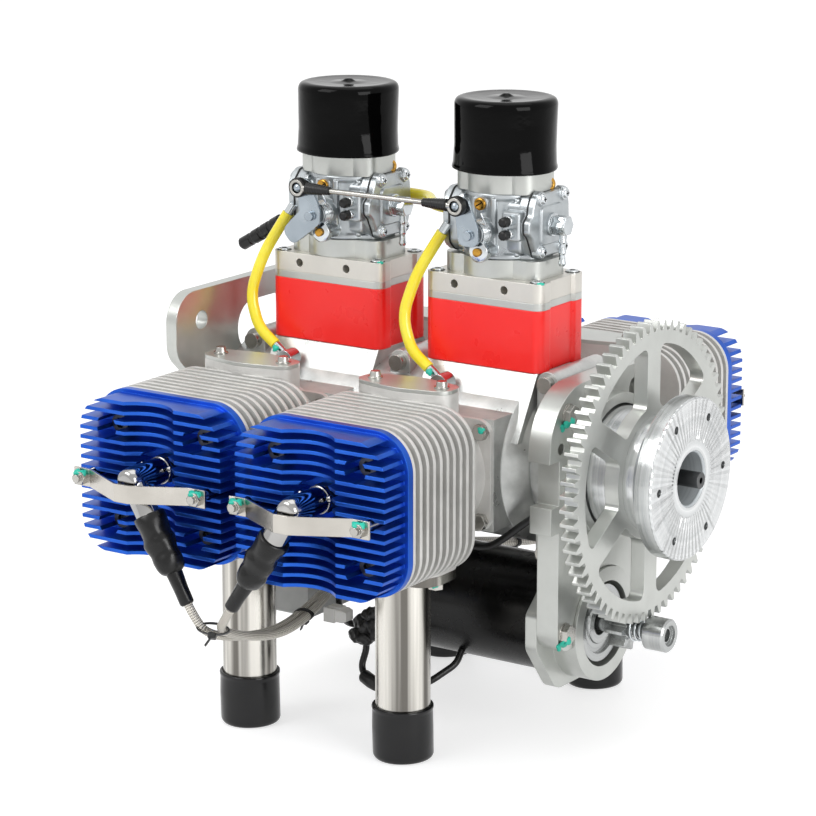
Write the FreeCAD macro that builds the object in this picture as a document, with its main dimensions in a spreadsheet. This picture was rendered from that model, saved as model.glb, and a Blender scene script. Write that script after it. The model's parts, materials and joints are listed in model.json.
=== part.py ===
import FreeCAD, Part
import Sketcher
import math
import os

# Air-cooled flat-four two-stroke engine for a small aircraft.
# Millimetres. X runs forward along the crankshaft, Z is up, and the origin is the centre of the
# propeller flange's front face. The near bank of cylinders points to -Y, the far bank to +Y.

V = FreeCAD.Vector
doc = FreeCAD.newDocument("flat_engine")

# ---------------------------------------------------------------------------------------------
# Driving dimensions
# ---------------------------------------------------------------------------------------------
SIZES = dict(
    # layout
    bank_offset=26, deck_height=165, case_pad_y=62, fin_gap=5, pad_gap=0.5, gap=0.3, seat=0.05,
    # cylinder barrels
    bore=66, stroke=40, barrel_wall=8, fin_width=112, fin_height=100, fin_corner=24,
    barrel_fin_pitch=7, barrel_fin_thick=2.6, barrel_fin_count=10,
    base_fin_width=90, base_fin_height=70, base_fin_pitch=5.6, base_fin_count=5, base_flange=3.5,
    base_corner=10, base_fin_inset=6, pedestal_lift=3, base_stud_x=39, base_stud_z=28,
    base_nut_r=5.2, base_nut_height=4.5,
    port_x_spread=24, port_y=87, port_top=55, cover_thick=2.4, cover_end_r=9, cover_mid_r=16,
    # cylinder heads
    head_plate=5, head_fin_depth=20, head_fin_pitch=6.2, head_fin_thick=2.2, head_fin_count=16,
    head_bolt_x=32.5, head_bolt_z=30, head_bolt_r=4, head_bolt_height=7,
    head_pocket_r=7.5,
    trough_radius=26, trough_depth=8, plug_pocket_r=14,
    # ignition
    plug_z=6, plug_hex_r=9, plug_thread_r=7, cap_barrel_r=8, cap_tube_r=7.5, boot_r=9.5,
    strap_stud_x=43.5, strap_stud_r=2.5, strap_height=11, strap_thick=1.6, strap_lift=9,
    strap_rise=17, strap_nose=5, strap_ear=6, strap_nut_r=4.6, strap_nut_height=4, stud_tail=4,
    tube_length=30, boot_start=24, boot_length=36, tail_end=81, lead_r=2.7, lead_pitch=7,
    porcelain_r=5, porcelain_length=24, plug_hex_height=7, cap_lift=9, elbow_gap=2,
    module_inset=2, module_length=54, module_half_y=32, module_bottom=-127, module_corner=5,
    # exhaust
    exhaust_y=93, exhaust_r=17, exhaust_wall=1.5, exhaust_top=-61, exhaust_end=-175,
    exhaust_cap_r=19, exhaust_cap_floor=3, exhaust_cap_height=34, exhaust_cap_round=3,
    exhaust_flange_thick=6, exhaust_flange_x=32, exhaust_flange_y=20, exhaust_flange_round=14,
    exhaust_bolt_x=24, exhaust_bolt_r=5, exhaust_bolt_height=5,
    # crankcase
    case_radius=54, case_inner_r=47, case_front_x=-75, case_overhang=67.5, nose_radius=40,
    nose_length=14, flare_length=12, boss_radius=7.5, boss_half=29, boss_z=53,
    riser_half_x=40, riser_half_y=25.5, riser_top=57.4, riser_foot_y=48, riser_foot_z=18,
    case_bolt_r=3, main_bearing_r=31, main_bearing_w=18,
    # crank
    shaft_radius=17.5, web_radius=42, web_thick=11, pin_radius=11,
    # front plate
    plate_thick=15, plate_half_y=54, plate_shoulder_y=65, plate_top=57, plate_step=14,
    plate_bottom=-108, plate_hole_r=3.5, plate_bore_r=39.5, plate_boss_r=46, plate_boss=9,
    plate_bolt_r=4, washer=0.8,
    # propeller hub and ring gear
    flange_radius=50, flange_thick=11, hub_bore_r=17.5, prop_bolt_pcd=79, prop_bolt_hole_r=2.5,
    neck_radius=30, collar_radius=36, gear_front_x=-27, gear_thick=9.5, gear_spigot_r=24,
    gear_teeth=68, gear_module=2.66, gear_rim_r=79, spoke_count=6, spoke_width=15,
    gear_window_inner_r=41,
    # starter
    starter_r=36, starter_length=112, starter_cap=16, nose_flange=8, nose_ring_r=36, nose_bore_r=27,
    pinion_teeth=8, pinion_width=12, pinion_gap=2.5, starter_shaft_r=5,
    cup_radius=10.5, cup_length=14, cup_front_x=-12.5, spring_r=7.8, spring_wire=1.1, spring_turns=4,
    # intake stacks
    block_x=84, block_y=53, block_corner=6, block_top=96, spacer_thick=4.5, carb_plate_thick=12,
    lower_adaptor=11.5, carb_height=40, upper_adaptor=13,
    carb_bore_r=16, carb_core_r=24, carb_width=52, cover_y=39.4, pump_cover=14, meter_cover=16,
    carb_cap_r=32.3, carb_cap_wall=2.5, carb_cap_height=44, carb_cap_round=5,
    nub_r=3, nub_height=1.5, inlet_ring_height=14,
    # throttle linkage
    lever_z=17, lever_y=40, lever_thick=2, lever_arm_x=-6, lever_arm_z=18, throttle_r=4,
    ball_r=3.2, rod_r=1.6, rod_y=46, joint_r=5.2,
    # rear mounting plate
    mount_thick=8, mount_bore_y=67, mount_bore_z=71, mount_bore_r=6,
    mount_end_r=20, mount_low_z=-66, mount_slot_half_y=29, mount_slot_z=58, mount_slot_r=17,
    mount_bolt_circle=40, mount_bolt_r=6, mount_bolt_height=5, key_r=3.4, key_depth=3,
    # piping
    hose_r=3.6, barb_r=2.8, wire_r=2.2,
)


class Size:
    """A length that knows its number and the spreadsheet expression it came from."""

    def __init__(self, value, text):
        self.value = float(value)
        self.text = text

    def __float__(self):
        return self.value

    def __add__(self, other):
        return Size(self.value + float(other), f"({self.text} + {text_of(other)})")

    def __radd__(self, other):
        return Size(float(other) + self.value, f"({text_of(other)} + {self.text})")

    def __sub__(self, other):
        return Size(self.value - float(other), f"({self.text} - {text_of(other)})")

    def __rsub__(self, other):
        return Size(float(other) - self.value, f"({text_of(other)} - {self.text})")

    def __mul__(self, other):
        return Size(self.value * float(other), f"({self.text} * {text_of(other)})")

    __rmul__ = __mul__

    def __truediv__(self, other):
        return Size(self.value / float(other), f"({self.text} / {text_of(other)})")

    def __neg__(self):
        return Size(-self.value, f"(-{self.text})")


def text_of(size):
    return size.text if isinstance(size, Size) else f"({float(size)})"


sheet = doc.addObject("Spreadsheet::Sheet", "sizes")
for row, (alias, value) in enumerate(SIZES.items(), 1):
    sheet.set(f"A{row}", alias)
    sheet.set(f"B{row}", str(value))
    sheet.setAlias(f"B{row}", alias)
doc.recompute()


class Named:
    """Every cell of the sheet as an attribute, so that s.bore is the bore."""


s = Named()
for alias in SIZES:
    setattr(s, alias, Size(sheet.get(alias), f"sizes.{alias}"))

# The case starts at the front plate; everything behind it follows from the widths of the fins.
CYLINDER_PITCH = s.fin_width + s.fin_gap
FRONT_STACK_X = s.case_front_x - s.pad_gap - s.base_fin_width / 2 - s.bank_offset / 2
REAR_STACK_X = FRONT_STACK_X - CYLINDER_PITCH
MIDDLE_X = FRONT_STACK_X - CYLINDER_PITCH / 2
CASE_REAR_X = REAR_STACK_X - s.case_overhang
PLATE_FRONT_X = s.case_front_x + s.plate_thick
MODULE_X = CASE_REAR_X + s.module_inset + s.module_length
STACKS = {"front": FRONT_STACK_X, "rear": REAR_STACK_X}
BANKS = {"near": -1, "far": 1}
CYLINDERS = {
    f"{bank}_{end}": (stack_x + side * s.bank_offset / 2, side)
    for bank, side in BANKS.items()
    for end, stack_x in STACKS.items()
}
nodes = {}

# ---------------------------------------------------------------------------------------------
# Helpers: primitives, booleans and sketched bodies, all bound to the sheet
# ---------------------------------------------------------------------------------------------
TURN = {
    "Z": FreeCAD.Rotation(),
    "-Z": FreeCAD.Rotation(V(1, 0, 0), 180),
    "X": FreeCAD.Rotation(V(0, 1, 0), 90),
    "-X": FreeCAD.Rotation(V(0, 1, 0), -90),
    "Y": FreeCAD.Rotation(V(1, 0, 0), -90),
    "-Y": FreeCAD.Rotation(V(1, 0, 0), 90),
}


def bind(obj, **sizes):
    for name, size in sizes.items():
        obj.setExpression(name.replace("__", "."), text_of(size))


def place(obj, at, turn=None):
    obj.Placement = FreeCAD.Placement(V(*map(float, at)), turn or FreeCAD.Rotation())
    bind(obj, Placement__Base__x=at[0], Placement__Base__y=at[1], Placement__Base__z=at[2])
    return obj


def box(name, xs, ys, zs):
    obj = doc.addObject("Part::Box", name)
    bind(obj, Length=xs[1] - xs[0], Width=ys[1] - ys[0], Height=zs[1] - zs[0])
    return place(obj, (xs[0], ys[0], zs[0]))


def cylinder(name, radius, length, at=(0, 0, 0), along="Z"):
    obj = doc.addObject("Part::Cylinder", name)
    bind(obj, Radius=radius, Height=length)
    return place(obj, at, TURN[along])


def cone(name, radius, end_radius, length, at=(0, 0, 0), along="Z"):
    obj = doc.addObject("Part::Cone", name)
    bind(obj, Radius1=radius, Radius2=end_radius, Height=length)
    return place(obj, at, TURN[along])


def sphere(name, radius, at):
    obj = doc.addObject("Part::Sphere", name)
    bind(obj, Radius=radius)
    return place(obj, at)


def hexagon(name, radius, length, at=(0, 0, 0), along="Z"):
    obj = doc.addObject("Part::Prism", name)
    obj.Polygon = 6
    bind(obj, Circumradius=radius, Height=length)
    return place(obj, at, TURN[along])


def fuse(name, parts):
    obj = doc.addObject("Part::MultiFuse", name)
    obj.Shapes = parts
    obj.Refine = True
    return obj


def cut(name, base, tools):
    obj = doc.addObject("Part::Cut", name)
    obj.Base = base
    obj.Tool = tools[0] if len(tools) == 1 else fuse(f"{name}_tools", tools)
    obj.Refine = True
    return obj


def common(name, parts):
    obj = doc.addObject("Part::MultiCommon", name)
    obj.Shapes = parts
    obj.Refine = True
    return obj


def group(name, parts):
    """Separate solids that share one node."""
    obj = doc.addObject("Part::Compound", name)
    obj.Links = parts
    return obj


def placed(name, source, at, turn=None):
    """A copy of a shape that follows its source."""
    return place(group(name, [source]), at, turn)


def node(name, obj):
    obj.Label = name
    nodes[name] = obj
    return obj


def body(name):
    return doc.addObject("PartDesign::Body", name)


def sketch(owner, role, offset=0.0):
    """A sketch on one of the body's own origin planes, moved along that plane's normal."""
    plane = next(f for f in owner.Origin.OriginFeatures if f.Role == role)
    obj = owner.newObject("Sketcher::SketchObject", f"{owner.Name}_sketch")
    obj.AttachmentSupport = [(plane, "")]
    obj.MapMode = "FlatFace"
    bind(obj, AttachmentOffset__Base__z=offset)
    return obj


def circle(obj, radius, x=0.0, y=0.0):
    index = obj.addGeometry(Part.Circle(V(float(x), float(y), 0), V(0, 0, 1), float(radius)))
    facts = (
        ("Radius", (index,), radius), ("DistanceX", (-1, 1, index, 3), x),
        ("DistanceY", (-1, 1, index, 3), y),
    )
    for kind, on, size in facts:
        number = obj.addConstraint(Sketcher.Constraint(kind, *on, float(size)))
        obj.setExpression(f"Constraints[{number}]", text_of(size))


def outline(obj, corners):
    """A closed outline of (x, y, radius) corners; a corner with a radius becomes a tangent arc."""
    points = [V(float(x), float(y), 0) for x, y, _ in corners]
    radii = [float(r) for _, _, r in corners]
    ends = []
    arcs = []
    for i, point in enumerate(points):
        if radii[i] <= 0:
            ends.append((point, point))
            arcs.append(None)
            continue
        back = (points[i - 1] - point).normalize()
        ahead = (points[(i + 1) % len(points)] - point).normalize()
        half = back.getAngle(ahead) / 2
        reach = radii[i] / math.tan(half)
        start = point + back * reach
        end = point + ahead * reach
        middle = point + (back + ahead).normalize() * (radii[i] / math.sin(half) - radii[i])
        ends.append((start, end))
        arcs.append(Part.Arc(start, middle, end))
    for i, arc in enumerate(arcs):
        if arc:
            obj.addGeometry(arc)
        ahead = ends[(i + 1) % len(ends)][0]
        if ends[i][1].distanceToPoint(ahead) > 1e-6:
            obj.addGeometry(Part.LineSegment(ends[i][1], ahead))


def rounded(obj, half_x, half_y, corner, x=0.0, y=0.0):
    """A rectangle with round corners about (x, y)."""
    left, right, low, high = x - half_x, x + half_x, y - half_y, y + half_y
    outline(obj, [(left, low, corner), (right, low, corner), (right, high, corner), (left, high, corner)])


def pad(owner, profile, length, reverse=False):
    obj = owner.newObject("PartDesign::Pad", f"{owner.Name}_pad")
    obj.Profile = profile
    obj.Reversed = reverse
    bind(obj, Length=length)
    return obj


def pocket(owner, profile, length=None, reverse=False):
    obj = owner.newObject("PartDesign::Pocket", f"{owner.Name}_pocket")
    obj.Profile = profile
    obj.Reversed = reverse
    if length is None:
        obj.Type = 1
        obj.Midplane = True
    else:
        bind(obj, Length=length)
    return obj


def revolve(name, points):
    """A turned piece: (distance along X, radius[, corner radius]) corners spun about X."""
    owner = body(name)
    profile = sketch(owner, "XZ_Plane")
    outline(profile, [(x, r, corner[0] if corner else 0) for x, r, *corner in points])
    spun = owner.newObject("PartDesign::Revolution", f"{name}_turning")
    spun.Profile = profile
    spun.ReferenceAxis = (profile, ["H_Axis"])
    spun.Angle = 360
    return owner


def tube(name, points, radius):
    """A hose or lead: straight runs joined by tangent arcs, swept with a round section."""
    points = [V(*map(float, p)) for p in points]
    edges = []
    start = points[0]
    radii = []
    for i in range(1, len(points) - 1):
        back = points[i - 1] - points[i]
        ahead = points[i + 1] - points[i]
        half_turn = (math.pi - back.getAngle(ahead)) / 2
        reach = 0.45 * min(back.Length, ahead.Length)
        bend = reach / math.tan(half_turn)
        radii.append(bend)
        first = points[i] + back.normalize() * reach
        last = points[i] + ahead.normalize() * reach
        to_centre = (back + ahead).normalize()
        middle = points[i] + to_centre * (bend / math.cos(half_turn) - bend)
        edges.append(Part.LineSegment(start, first).toShape())
        edges.append(Part.Arc(first, middle, last).toShape())
        start = last
    edges.append(Part.LineSegment(start, points[-1]).toShape())
    spine = Part.Wire(edges)
    section = Part.Wire(Part.makeCircle(float(radius), points[0], points[1] - points[0]))
    solid = spine.makePipeShell([section], True, False)
    expected = math.pi * float(radius) ** 2 * spine.Length
    ratio = solid.Volume / expected
    print(f"{name}: length {spine.Length:.0f}, tightest bend {min(radii):.0f}, volume ratio {ratio:.4f}")
    obj = doc.addObject("Part::Feature", name)
    obj.Shape = solid
    return obj


# ---------------------------------------------------------------------------------------------
# Crankcase: two castings split on the plane of the crank, with bearings and bolts
# ---------------------------------------------------------------------------------------------
def riser(end, stack_x):
    """The cast duct that stands on the case under one intake stack."""
    duct = body(f"riser_{end}")
    profile = sketch(duct, "YZ_Plane", -s.riser_half_x)
    foot_y, top_y = s.riser_foot_y, s.riser_half_y
    outline(profile, [
        (-foot_y, s.riser_foot_z, 0), (foot_y, s.riser_foot_z, 0), (top_y, s.riser_top, 0),
        (-top_y, s.riser_top, 0),
    ])
    pad(duct, profile, s.riser_half_x * 2)
    place(duct, (stack_x, 0, 0))
    return duct


def crankcase():
    nose_x = s.case_front_x - s.nose_length
    flare_x = nose_x - s.flare_length
    shell = [
        cylinder("case_nose", s.nose_radius, s.nose_length, (nose_x, 0, 0), "X"),
        cone("case_flare", s.case_radius, s.nose_radius + 2, s.flare_length, (flare_x, 0, 0), "X"),
        cylinder("case_barrel", s.case_radius, flare_x - CASE_REAR_X, (CASE_REAR_X, 0, 0), "X"),
    ]
    half_x, half_z = s.base_fin_width / 2, s.base_fin_height / 2
    for name, (x, side) in CYLINDERS.items():
        ys = sorted((0 * s.case_pad_y, side * s.case_pad_y), key=float)
        shell.append(box(f"case_pad_{name}", (x - half_x, x + half_x), ys, (-half_z, half_z)))
    for end, stack_x in STACKS.items():
        shell.append(riser(end, stack_x))
    for i, x in enumerate(CASE_BOLT_X):
        for j, z in enumerate((s.boss_z, -s.boss_z)):
            at = (x, -s.boss_half, z)
            shell.append(cylinder(f"case_boss_{i}{j}", s.boss_radius, s.boss_half * 2, at, "Y"))
            web = (x - s.boss_radius, x + s.boss_radius)
            inward = sorted((z, z / 2), key=float)
            shell.append(box(f"case_web_{i}{j}", web, (-s.boss_half, s.boss_half), inward))
    outside = fuse("case_outside", shell)

    hollow = [cylinder("case_shaft_way", s.main_bearing_r + s.seat, 400, (-410, 0, 0), "X")]
    for end, stack_x in STACKS.items():
        half = s.bank_offset + s.web_thick / 2 + 2
        hollow.append(cylinder(f"case_chamber_{end}", s.case_inner_r, half * 2, (stack_x - half, 0, 0), "X"))
    for name, (x, side) in CYLINDERS.items():
        hollow.append(
            cylinder(f"case_mouth_{name}", s.bore / 2, s.case_pad_y, (x, 0, 0), "Y" if side > 0 else "-Y")
        )
    for i, x in enumerate(CASE_BOLT_X):
        for j, z in enumerate((s.boss_z, -s.boss_z)):
            at = (x, -s.boss_half, z)
            hollow.append(cylinder(f"case_hole_{i}{j}", s.case_bolt_r + s.seat, s.boss_half * 2, at, "Y"))
    whole = cut("case_whole", outside, hollow)
    along, reach = (CASE_REAR_X, s.case_front_x), s.case_pad_y
    near_side = box("near_side", along, (-reach, 0 * reach), (-reach, reach))
    far_side = box("far_side", along, (0 * reach, reach), (-reach, reach))
    node("crankcase_near", cut("crankcase_near", whole, [far_side]))
    node("crankcase_far", cut("crankcase_far", whole, [near_side]))


CASE_BOLT_X = (s.case_front_x - 9, MIDDLE_X, CASE_REAR_X + 14)
BEARING_X = (s.case_front_x - 16, MIDDLE_X, CASE_REAR_X + 24)


def case_bolts():
    """Through bolts of the case bosses, head on the near side and nut on the far side."""
    bolts = []
    for i, x in enumerate(CASE_BOLT_X):
        for j, z in enumerate((s.boss_z, -s.boss_z)):
            start = -s.boss_half - 5
            shank = cylinder(
                f"case_bolt_shank_{i}{j}", s.case_bolt_r, s.boss_half * 2 + 9, (x, start, z), "Y",
            )
            head = cylinder(f"case_bolt_head_{i}{j}", s.case_bolt_r * 1.7, 5.0, (x, start, z), "Y")
            nut = hexagon(f"case_bolt_nut_{i}{j}", s.case_bolt_r * 1.8, 4.0, (x, s.boss_half, z), "Y")
            bolts.append(fuse(f"case_bolt_{i}{j}", [shank, head, nut]))
    node("case_bolts", group("case_bolts", bolts))


def main_bearings():
    rings = []
    for i, x in enumerate(BEARING_X):
        start = (x - s.main_bearing_w / 2, 0, 0)
        ring = cylinder(f"bearing_ring_{i}", s.main_bearing_r, s.main_bearing_w, start, "X")
        way = cylinder(f"bearing_way_{i}", s.shaft_radius + s.seat, s.main_bearing_w, start, "X")
        rings.append(cut(f"main_bearing_{i}", ring, [way]))
    node("main_bearings", group("main_bearings", rings))


def crankshaft():
    """Four throws in one plane; each pair of facing cylinders shares the web between them."""
    start, end = CASE_REAR_X + 8, s.gear_front_x + 4
    parts = [
        cylinder("crank_rear", s.shaft_radius, REAR_STACK_X - s.bank_offset - start, (start, 0, 0), "X"),
        cylinder(
            "crank_middle", s.shaft_radius, CYLINDER_PITCH - s.bank_offset * 2,
            (REAR_STACK_X + s.bank_offset, 0, 0), "X",
        ),
        cylinder(
            "crank_front", s.shaft_radius, end - FRONT_STACK_X - s.bank_offset,
            (FRONT_STACK_X + s.bank_offset, 0, 0), "X",
        ),
        cylinder("crank_end_stud", 5.0, 6.5 - end, (end, 0, 0), "X"),
    ]
    for name, (x, side) in CYLINDERS.items():
        throw = side * s.stroke / 2 * (1 if name.endswith("front") else -1)
        start = (x - s.bank_offset / 2, throw, 0)
        parts.append(cylinder(f"crank_pin_{name}", s.pin_radius, s.bank_offset, start, "X"))
    for end_name, stack_x in STACKS.items():
        for i in (-1, 0, 1):
            start = (stack_x + i * s.bank_offset - s.web_thick / 2, 0, 0)
            parts.append(cylinder(f"crank_web_{end_name}{i + 1}", s.web_radius, s.web_thick, start, "X"))
    blank = fuse("crank_blank", parts)
    centre = cylinder("crank_centre_hole", 2.0, 12.0, (-5.5, 0, 0), "X")
    node("crankshaft", cut("crankshaft", blank, [centre]))


def pistons():
    """Hollow pistons: the front pair rests at the outer dead centre, the rear pair at the inner."""
    for name, (x, side) in CYLINDERS.items():
        along = "Y" if side > 0 else "-Y"
        top = s.deck_height - 2 - (0 if name.endswith("front") else s.stroke)
        skin = cylinder(
            f"piston_skin_{name}", s.bore / 2 - 0.05, PISTON_HEIGHT, (x, side * (top - PISTON_HEIGHT), 0),
            along,
        )
        room = cylinder(
            f"piston_room_{name}", s.bore / 2 - 4, PISTON_HEIGHT - 7,
            (x, side * (top - PISTON_HEIGHT), 0), along,
        )
        pin = cylinder(
            f"piston_pin_{name}", 8.0, s.bore - 10, (x - s.bore / 2 + 5, side * (top - 30), 0), "X",
        )
        node(f"piston_{name}", fuse(f"piston_{name}", [cut(f"piston_cup_{name}", skin, [room]), pin]))


PISTON_HEIGHT = s.bore * 0.9

crankcase()
case_bolts()
main_bearings()
crankshaft()
pistons()


# ---------------------------------------------------------------------------------------------
# Cylinder barrels, made with the bore along -Y and turned half round for the far bank
# ---------------------------------------------------------------------------------------------
def bank_place(obj, x, side):
    return place(obj, (x, 0, 0), FreeCAD.Rotation(V(0, 0, 1), 180 if side > 0 else 0))


def pattern(owner, feature, step, count, back=True):
    """Repeats a feature along the body's Y axis."""
    obj = owner.newObject("PartDesign::LinearPattern", f"{owner.Name}_pattern")
    obj.Originals = [feature]
    axis = next(f for f in owner.Origin.OriginFeatures if f.Role == "Y_Axis")
    obj.Direction = (axis, [""])
    obj.Reversed = not back
    bind(obj, Length=step * (count - 1), Occurrences=count)
    owner.Tip = obj
    return obj


def barrel(name, x, side):
    owner = body(f"cylinder_{name}")
    core = sketch(owner, "XZ_Plane", s.case_pad_y)
    circle(core, s.bore / 2 + s.barrel_wall)
    pad(owner, core, s.deck_height - s.case_pad_y)

    top_fin = sketch(owner, "XZ_Plane", s.deck_height - s.barrel_fin_thick)
    rounded(top_fin, s.fin_width / 2, s.fin_height / 2, s.fin_corner)
    fin = pad(owner, top_fin, s.barrel_fin_thick)
    pattern(owner, fin, s.barrel_fin_pitch, s.barrel_fin_count)

    flange = sketch(owner, "XZ_Plane", s.case_pad_y)
    rounded(flange, s.base_fin_width / 2, s.base_fin_height / 2, s.base_corner)
    pad(owner, flange, s.base_flange)
    low_fin = sketch(owner, "XZ_Plane", s.case_pad_y + s.base_fin_pitch * s.base_fin_count)
    inset = s.base_fin_inset
    rounded(low_fin, s.base_fin_width / 2 - inset, s.base_fin_height / 2 - inset / 2, s.fin_corner)
    fin = pad(owner, low_fin, s.barrel_fin_thick)
    pattern(owner, fin, s.base_fin_pitch, s.base_fin_count)

    wall_top = s.bore / 2 + s.pedestal_lift
    pedestal = sketch(owner, "XY_Plane", wall_top)
    cover_outline(pedestal)
    pad(owner, pedestal, s.port_top - wall_top)
    outlet_bottom = s.exhaust_top + s.exhaust_flange_thick
    outlet = sketch(owner, "XY_Plane", outlet_bottom)
    rounded(outlet, s.exhaust_flange_x, s.exhaust_flange_y, s.exhaust_flange_round, 0, -s.exhaust_y)
    pad(owner, outlet, -outlet_bottom - wall_top)

    way = sketch(owner, "XZ_Plane", s.case_pad_y)
    circle(way, s.bore / 2)
    pocket(owner, way, s.deck_height - s.case_pad_y, reverse=True)
    bank_place(owner, x, side)
    node(f"cylinder_{name}", owner)


def cover_outline(obj):
    """The pointed oval of a port cover, lengthwise along X."""
    end_x, end_y, mid_y = s.port_x_spread + s.cover_end_r, s.cover_end_r, s.cover_mid_r
    corner = s.cover_end_r * 0.95
    y = -s.port_y
    outline(obj, [
        (-end_x, y - end_y, corner), (0, y - mid_y, 40), (end_x, y - end_y, corner),
        (end_x, y + end_y, corner), (0, y + mid_y, 40), (-end_x, y + end_y, corner),
    ])


def port_covers():
    """Blanking plates on the tops of the barrels, each under two button screws."""
    covers = []
    screws = []
    for name, (x, side) in CYLINDERS.items():
        plate = body(f"port_cover_{name}")
        profile = sketch(plate, "XY_Plane", s.port_top)
        cover_outline(profile)
        pad(plate, profile, s.cover_thick)
        bank_place(plate, x, side)
        covers.append(plate)
        for i, dx in enumerate((-s.port_x_spread, s.port_x_spread)):
            top = s.port_top + s.cover_thick
            washer = cylinder(f"cover_washer_{name}{i}", 4.6, 0.8, (x + dx, side * s.port_y, top))
            head = cone(f"cover_screw_{name}{i}", 3.6, 3.0, 3.2, (x + dx, side * s.port_y, top + 0.8))
            screws.append(fuse(f"cover_screw_set_{name}{i}", [washer, head]))
    node("port_covers", group("port_covers", covers))
    node("port_cover_screws", group("port_cover_screws", screws))


def cylinder_nuts():
    nuts = []
    for name, (x, side) in CYLINDERS.items():
        out = "Y" if side > 0 else "-Y"
        y = side * (s.case_pad_y + s.base_flange)
        for i, (right, up) in enumerate(((-1, -1), (1, -1), (1, 1), (-1, 1))):
            at = (x + right * s.base_stud_x, y, up * s.base_stud_z)
            nuts.append(hexagon(f"cylinder_nut_{name}{i}", s.base_nut_r, s.base_nut_height, at, out))
    node("cylinder_nuts", group("cylinder_nuts", nuts))


for name, (x, side) in CYLINDERS.items():
    barrel(name, x, side)
port_covers()
cylinder_nuts()


# ---------------------------------------------------------------------------------------------
# Cylinder heads, plugs and plug caps
# ---------------------------------------------------------------------------------------------
HEAD_FACE = s.deck_height + s.head_plate
FIN_TIP = HEAD_FACE + s.head_fin_depth
STRAP_Y = FIN_TIP + s.strap_lift
STUDS = ((-s.strap_stud_x, 0.0), (s.strap_stud_x, 0.0))
HEAD_BOLTS = [(i * s.head_bolt_x, j * s.head_bolt_z) for i in (-1, 1) for j in (-1, 1)]


def head_blank():
    """The finned head about its own bore axis, outward along -Y."""
    base = body("head_base")
    profile = sketch(base, "XZ_Plane", s.deck_height)
    rounded(profile, s.fin_width / 2, s.fin_height / 2, s.fin_corner)
    pad(base, profile, s.head_plate)

    fins = []
    span = s.head_fin_pitch * (s.head_fin_count - 1)
    half = s.fin_width / 2
    for i in range(SIZES["head_fin_count"]):
        z = i * s.head_fin_pitch - span / 2 - s.head_fin_thick / 2
        fins.append(box(f"head_fin_{i}", (-half, half), (-FIN_TIP, -HEAD_FACE), (z, z + s.head_fin_thick)))
    reach = body("head_fin_reach")
    limit = sketch(reach, "XZ_Plane", s.deck_height)
    rounded(limit, s.fin_width / 2 - 3, s.fin_height / 2 - 2, s.fin_corner - 3)
    pad(reach, limit, s.head_plate + s.head_fin_depth)
    finned = fuse("head_finned", [base, common("head_fins", [fuse("head_fin_stack", fins), reach])])

    cuts = [
        cylinder("head_trough", s.trough_radius, 120, (0, -FIN_TIP - s.trough_radius + s.trough_depth, -60)),
        cylinder("head_plug_pocket", s.plug_pocket_r, s.head_fin_depth + 1, (0, -HEAD_FACE, s.plug_z), "-Y"),
        cylinder(
            "head_plug_hole", s.plug_thread_r + s.seat, s.head_plate, (0, -s.deck_height, s.plug_z), "-Y",
        ),
    ]
    for i, (x, z) in enumerate(HEAD_BOLTS):
        cuts.append(
            cylinder(f"head_bolt_pocket_{i}", s.head_pocket_r, s.head_fin_depth + 1, (x, -HEAD_FACE, z), "-Y")
        )
    for i, (x, z) in enumerate(STUDS):
        cuts.append(
            cylinder(f"head_stud_way_{i}", s.strap_stud_r + 1, s.head_fin_depth + 1, (x, -HEAD_FACE, z), "-Y")
        )
    return cut("head_blank", finned, cuts)


def head_set():
    blank = head_blank()
    bolts = []
    plugs = []
    nuts = []
    for name, (x, side) in CYLINDERS.items():
        out = "Y" if side > 0 else "-Y"
        node(f"head_{name}", bank_place(placed(f"head_{name}", blank, (0, 0, 0)), x, side))
        face = side * HEAD_FACE
        for i, (dx, z) in enumerate(HEAD_BOLTS):
            at = (x + dx, face, z)
            head = cylinder(f"head_bolt_head_{name}{i}", s.head_bolt_r * 1.5, s.head_bolt_height, at, out)
            socket_at = (x + dx, face + side * (s.head_bolt_height - s.key_depth), z)
            key = hexagon(f"head_bolt_key_{name}{i}", s.key_r, s.key_depth, socket_at, out)
            bolts.append(cut(f"head_bolt_{name}{i}", head, [key]))
        hexa = hexagon(f"plug_hex_{name}", s.plug_hex_r, s.plug_hex_height, (x, face, s.plug_z), out)
        thread_at = (x, side * s.deck_height, s.plug_z)
        thread = cylinder(f"plug_thread_{name}", s.plug_thread_r, s.head_plate, thread_at, out)
        tip_at = (x, side * (HEAD_FACE + s.plug_hex_height), s.plug_z)
        porcelain = cylinder(f"plug_porcelain_{name}", s.porcelain_r, s.porcelain_length, tip_at, out)
        plugs.append(fuse(f"spark_plug_{name}", [hexa, thread, porcelain]))
        for i, (dx, z) in enumerate(STUDS):
            length = STRAP_Y + s.stud_tail * 2 - HEAD_FACE
            stud = cylinder(f"strap_stud_{name}{i}", s.strap_stud_r, length, (x + dx, face, z), out)
            seat_at = (x + dx, side * (STRAP_Y + s.strap_thick), z)
            nut = hexagon(f"strap_nut_{name}{i}", s.strap_nut_r, s.strap_nut_height, seat_at, out)
            nuts.append(fuse(f"strap_fixing_{name}{i}", [stud, nut]))
    node("head_bolts", group("head_bolts", bolts))
    node("spark_plugs", group("spark_plugs", plugs))
    node("strap_studs_and_nuts", group("strap_studs_and_nuts", nuts))


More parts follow.
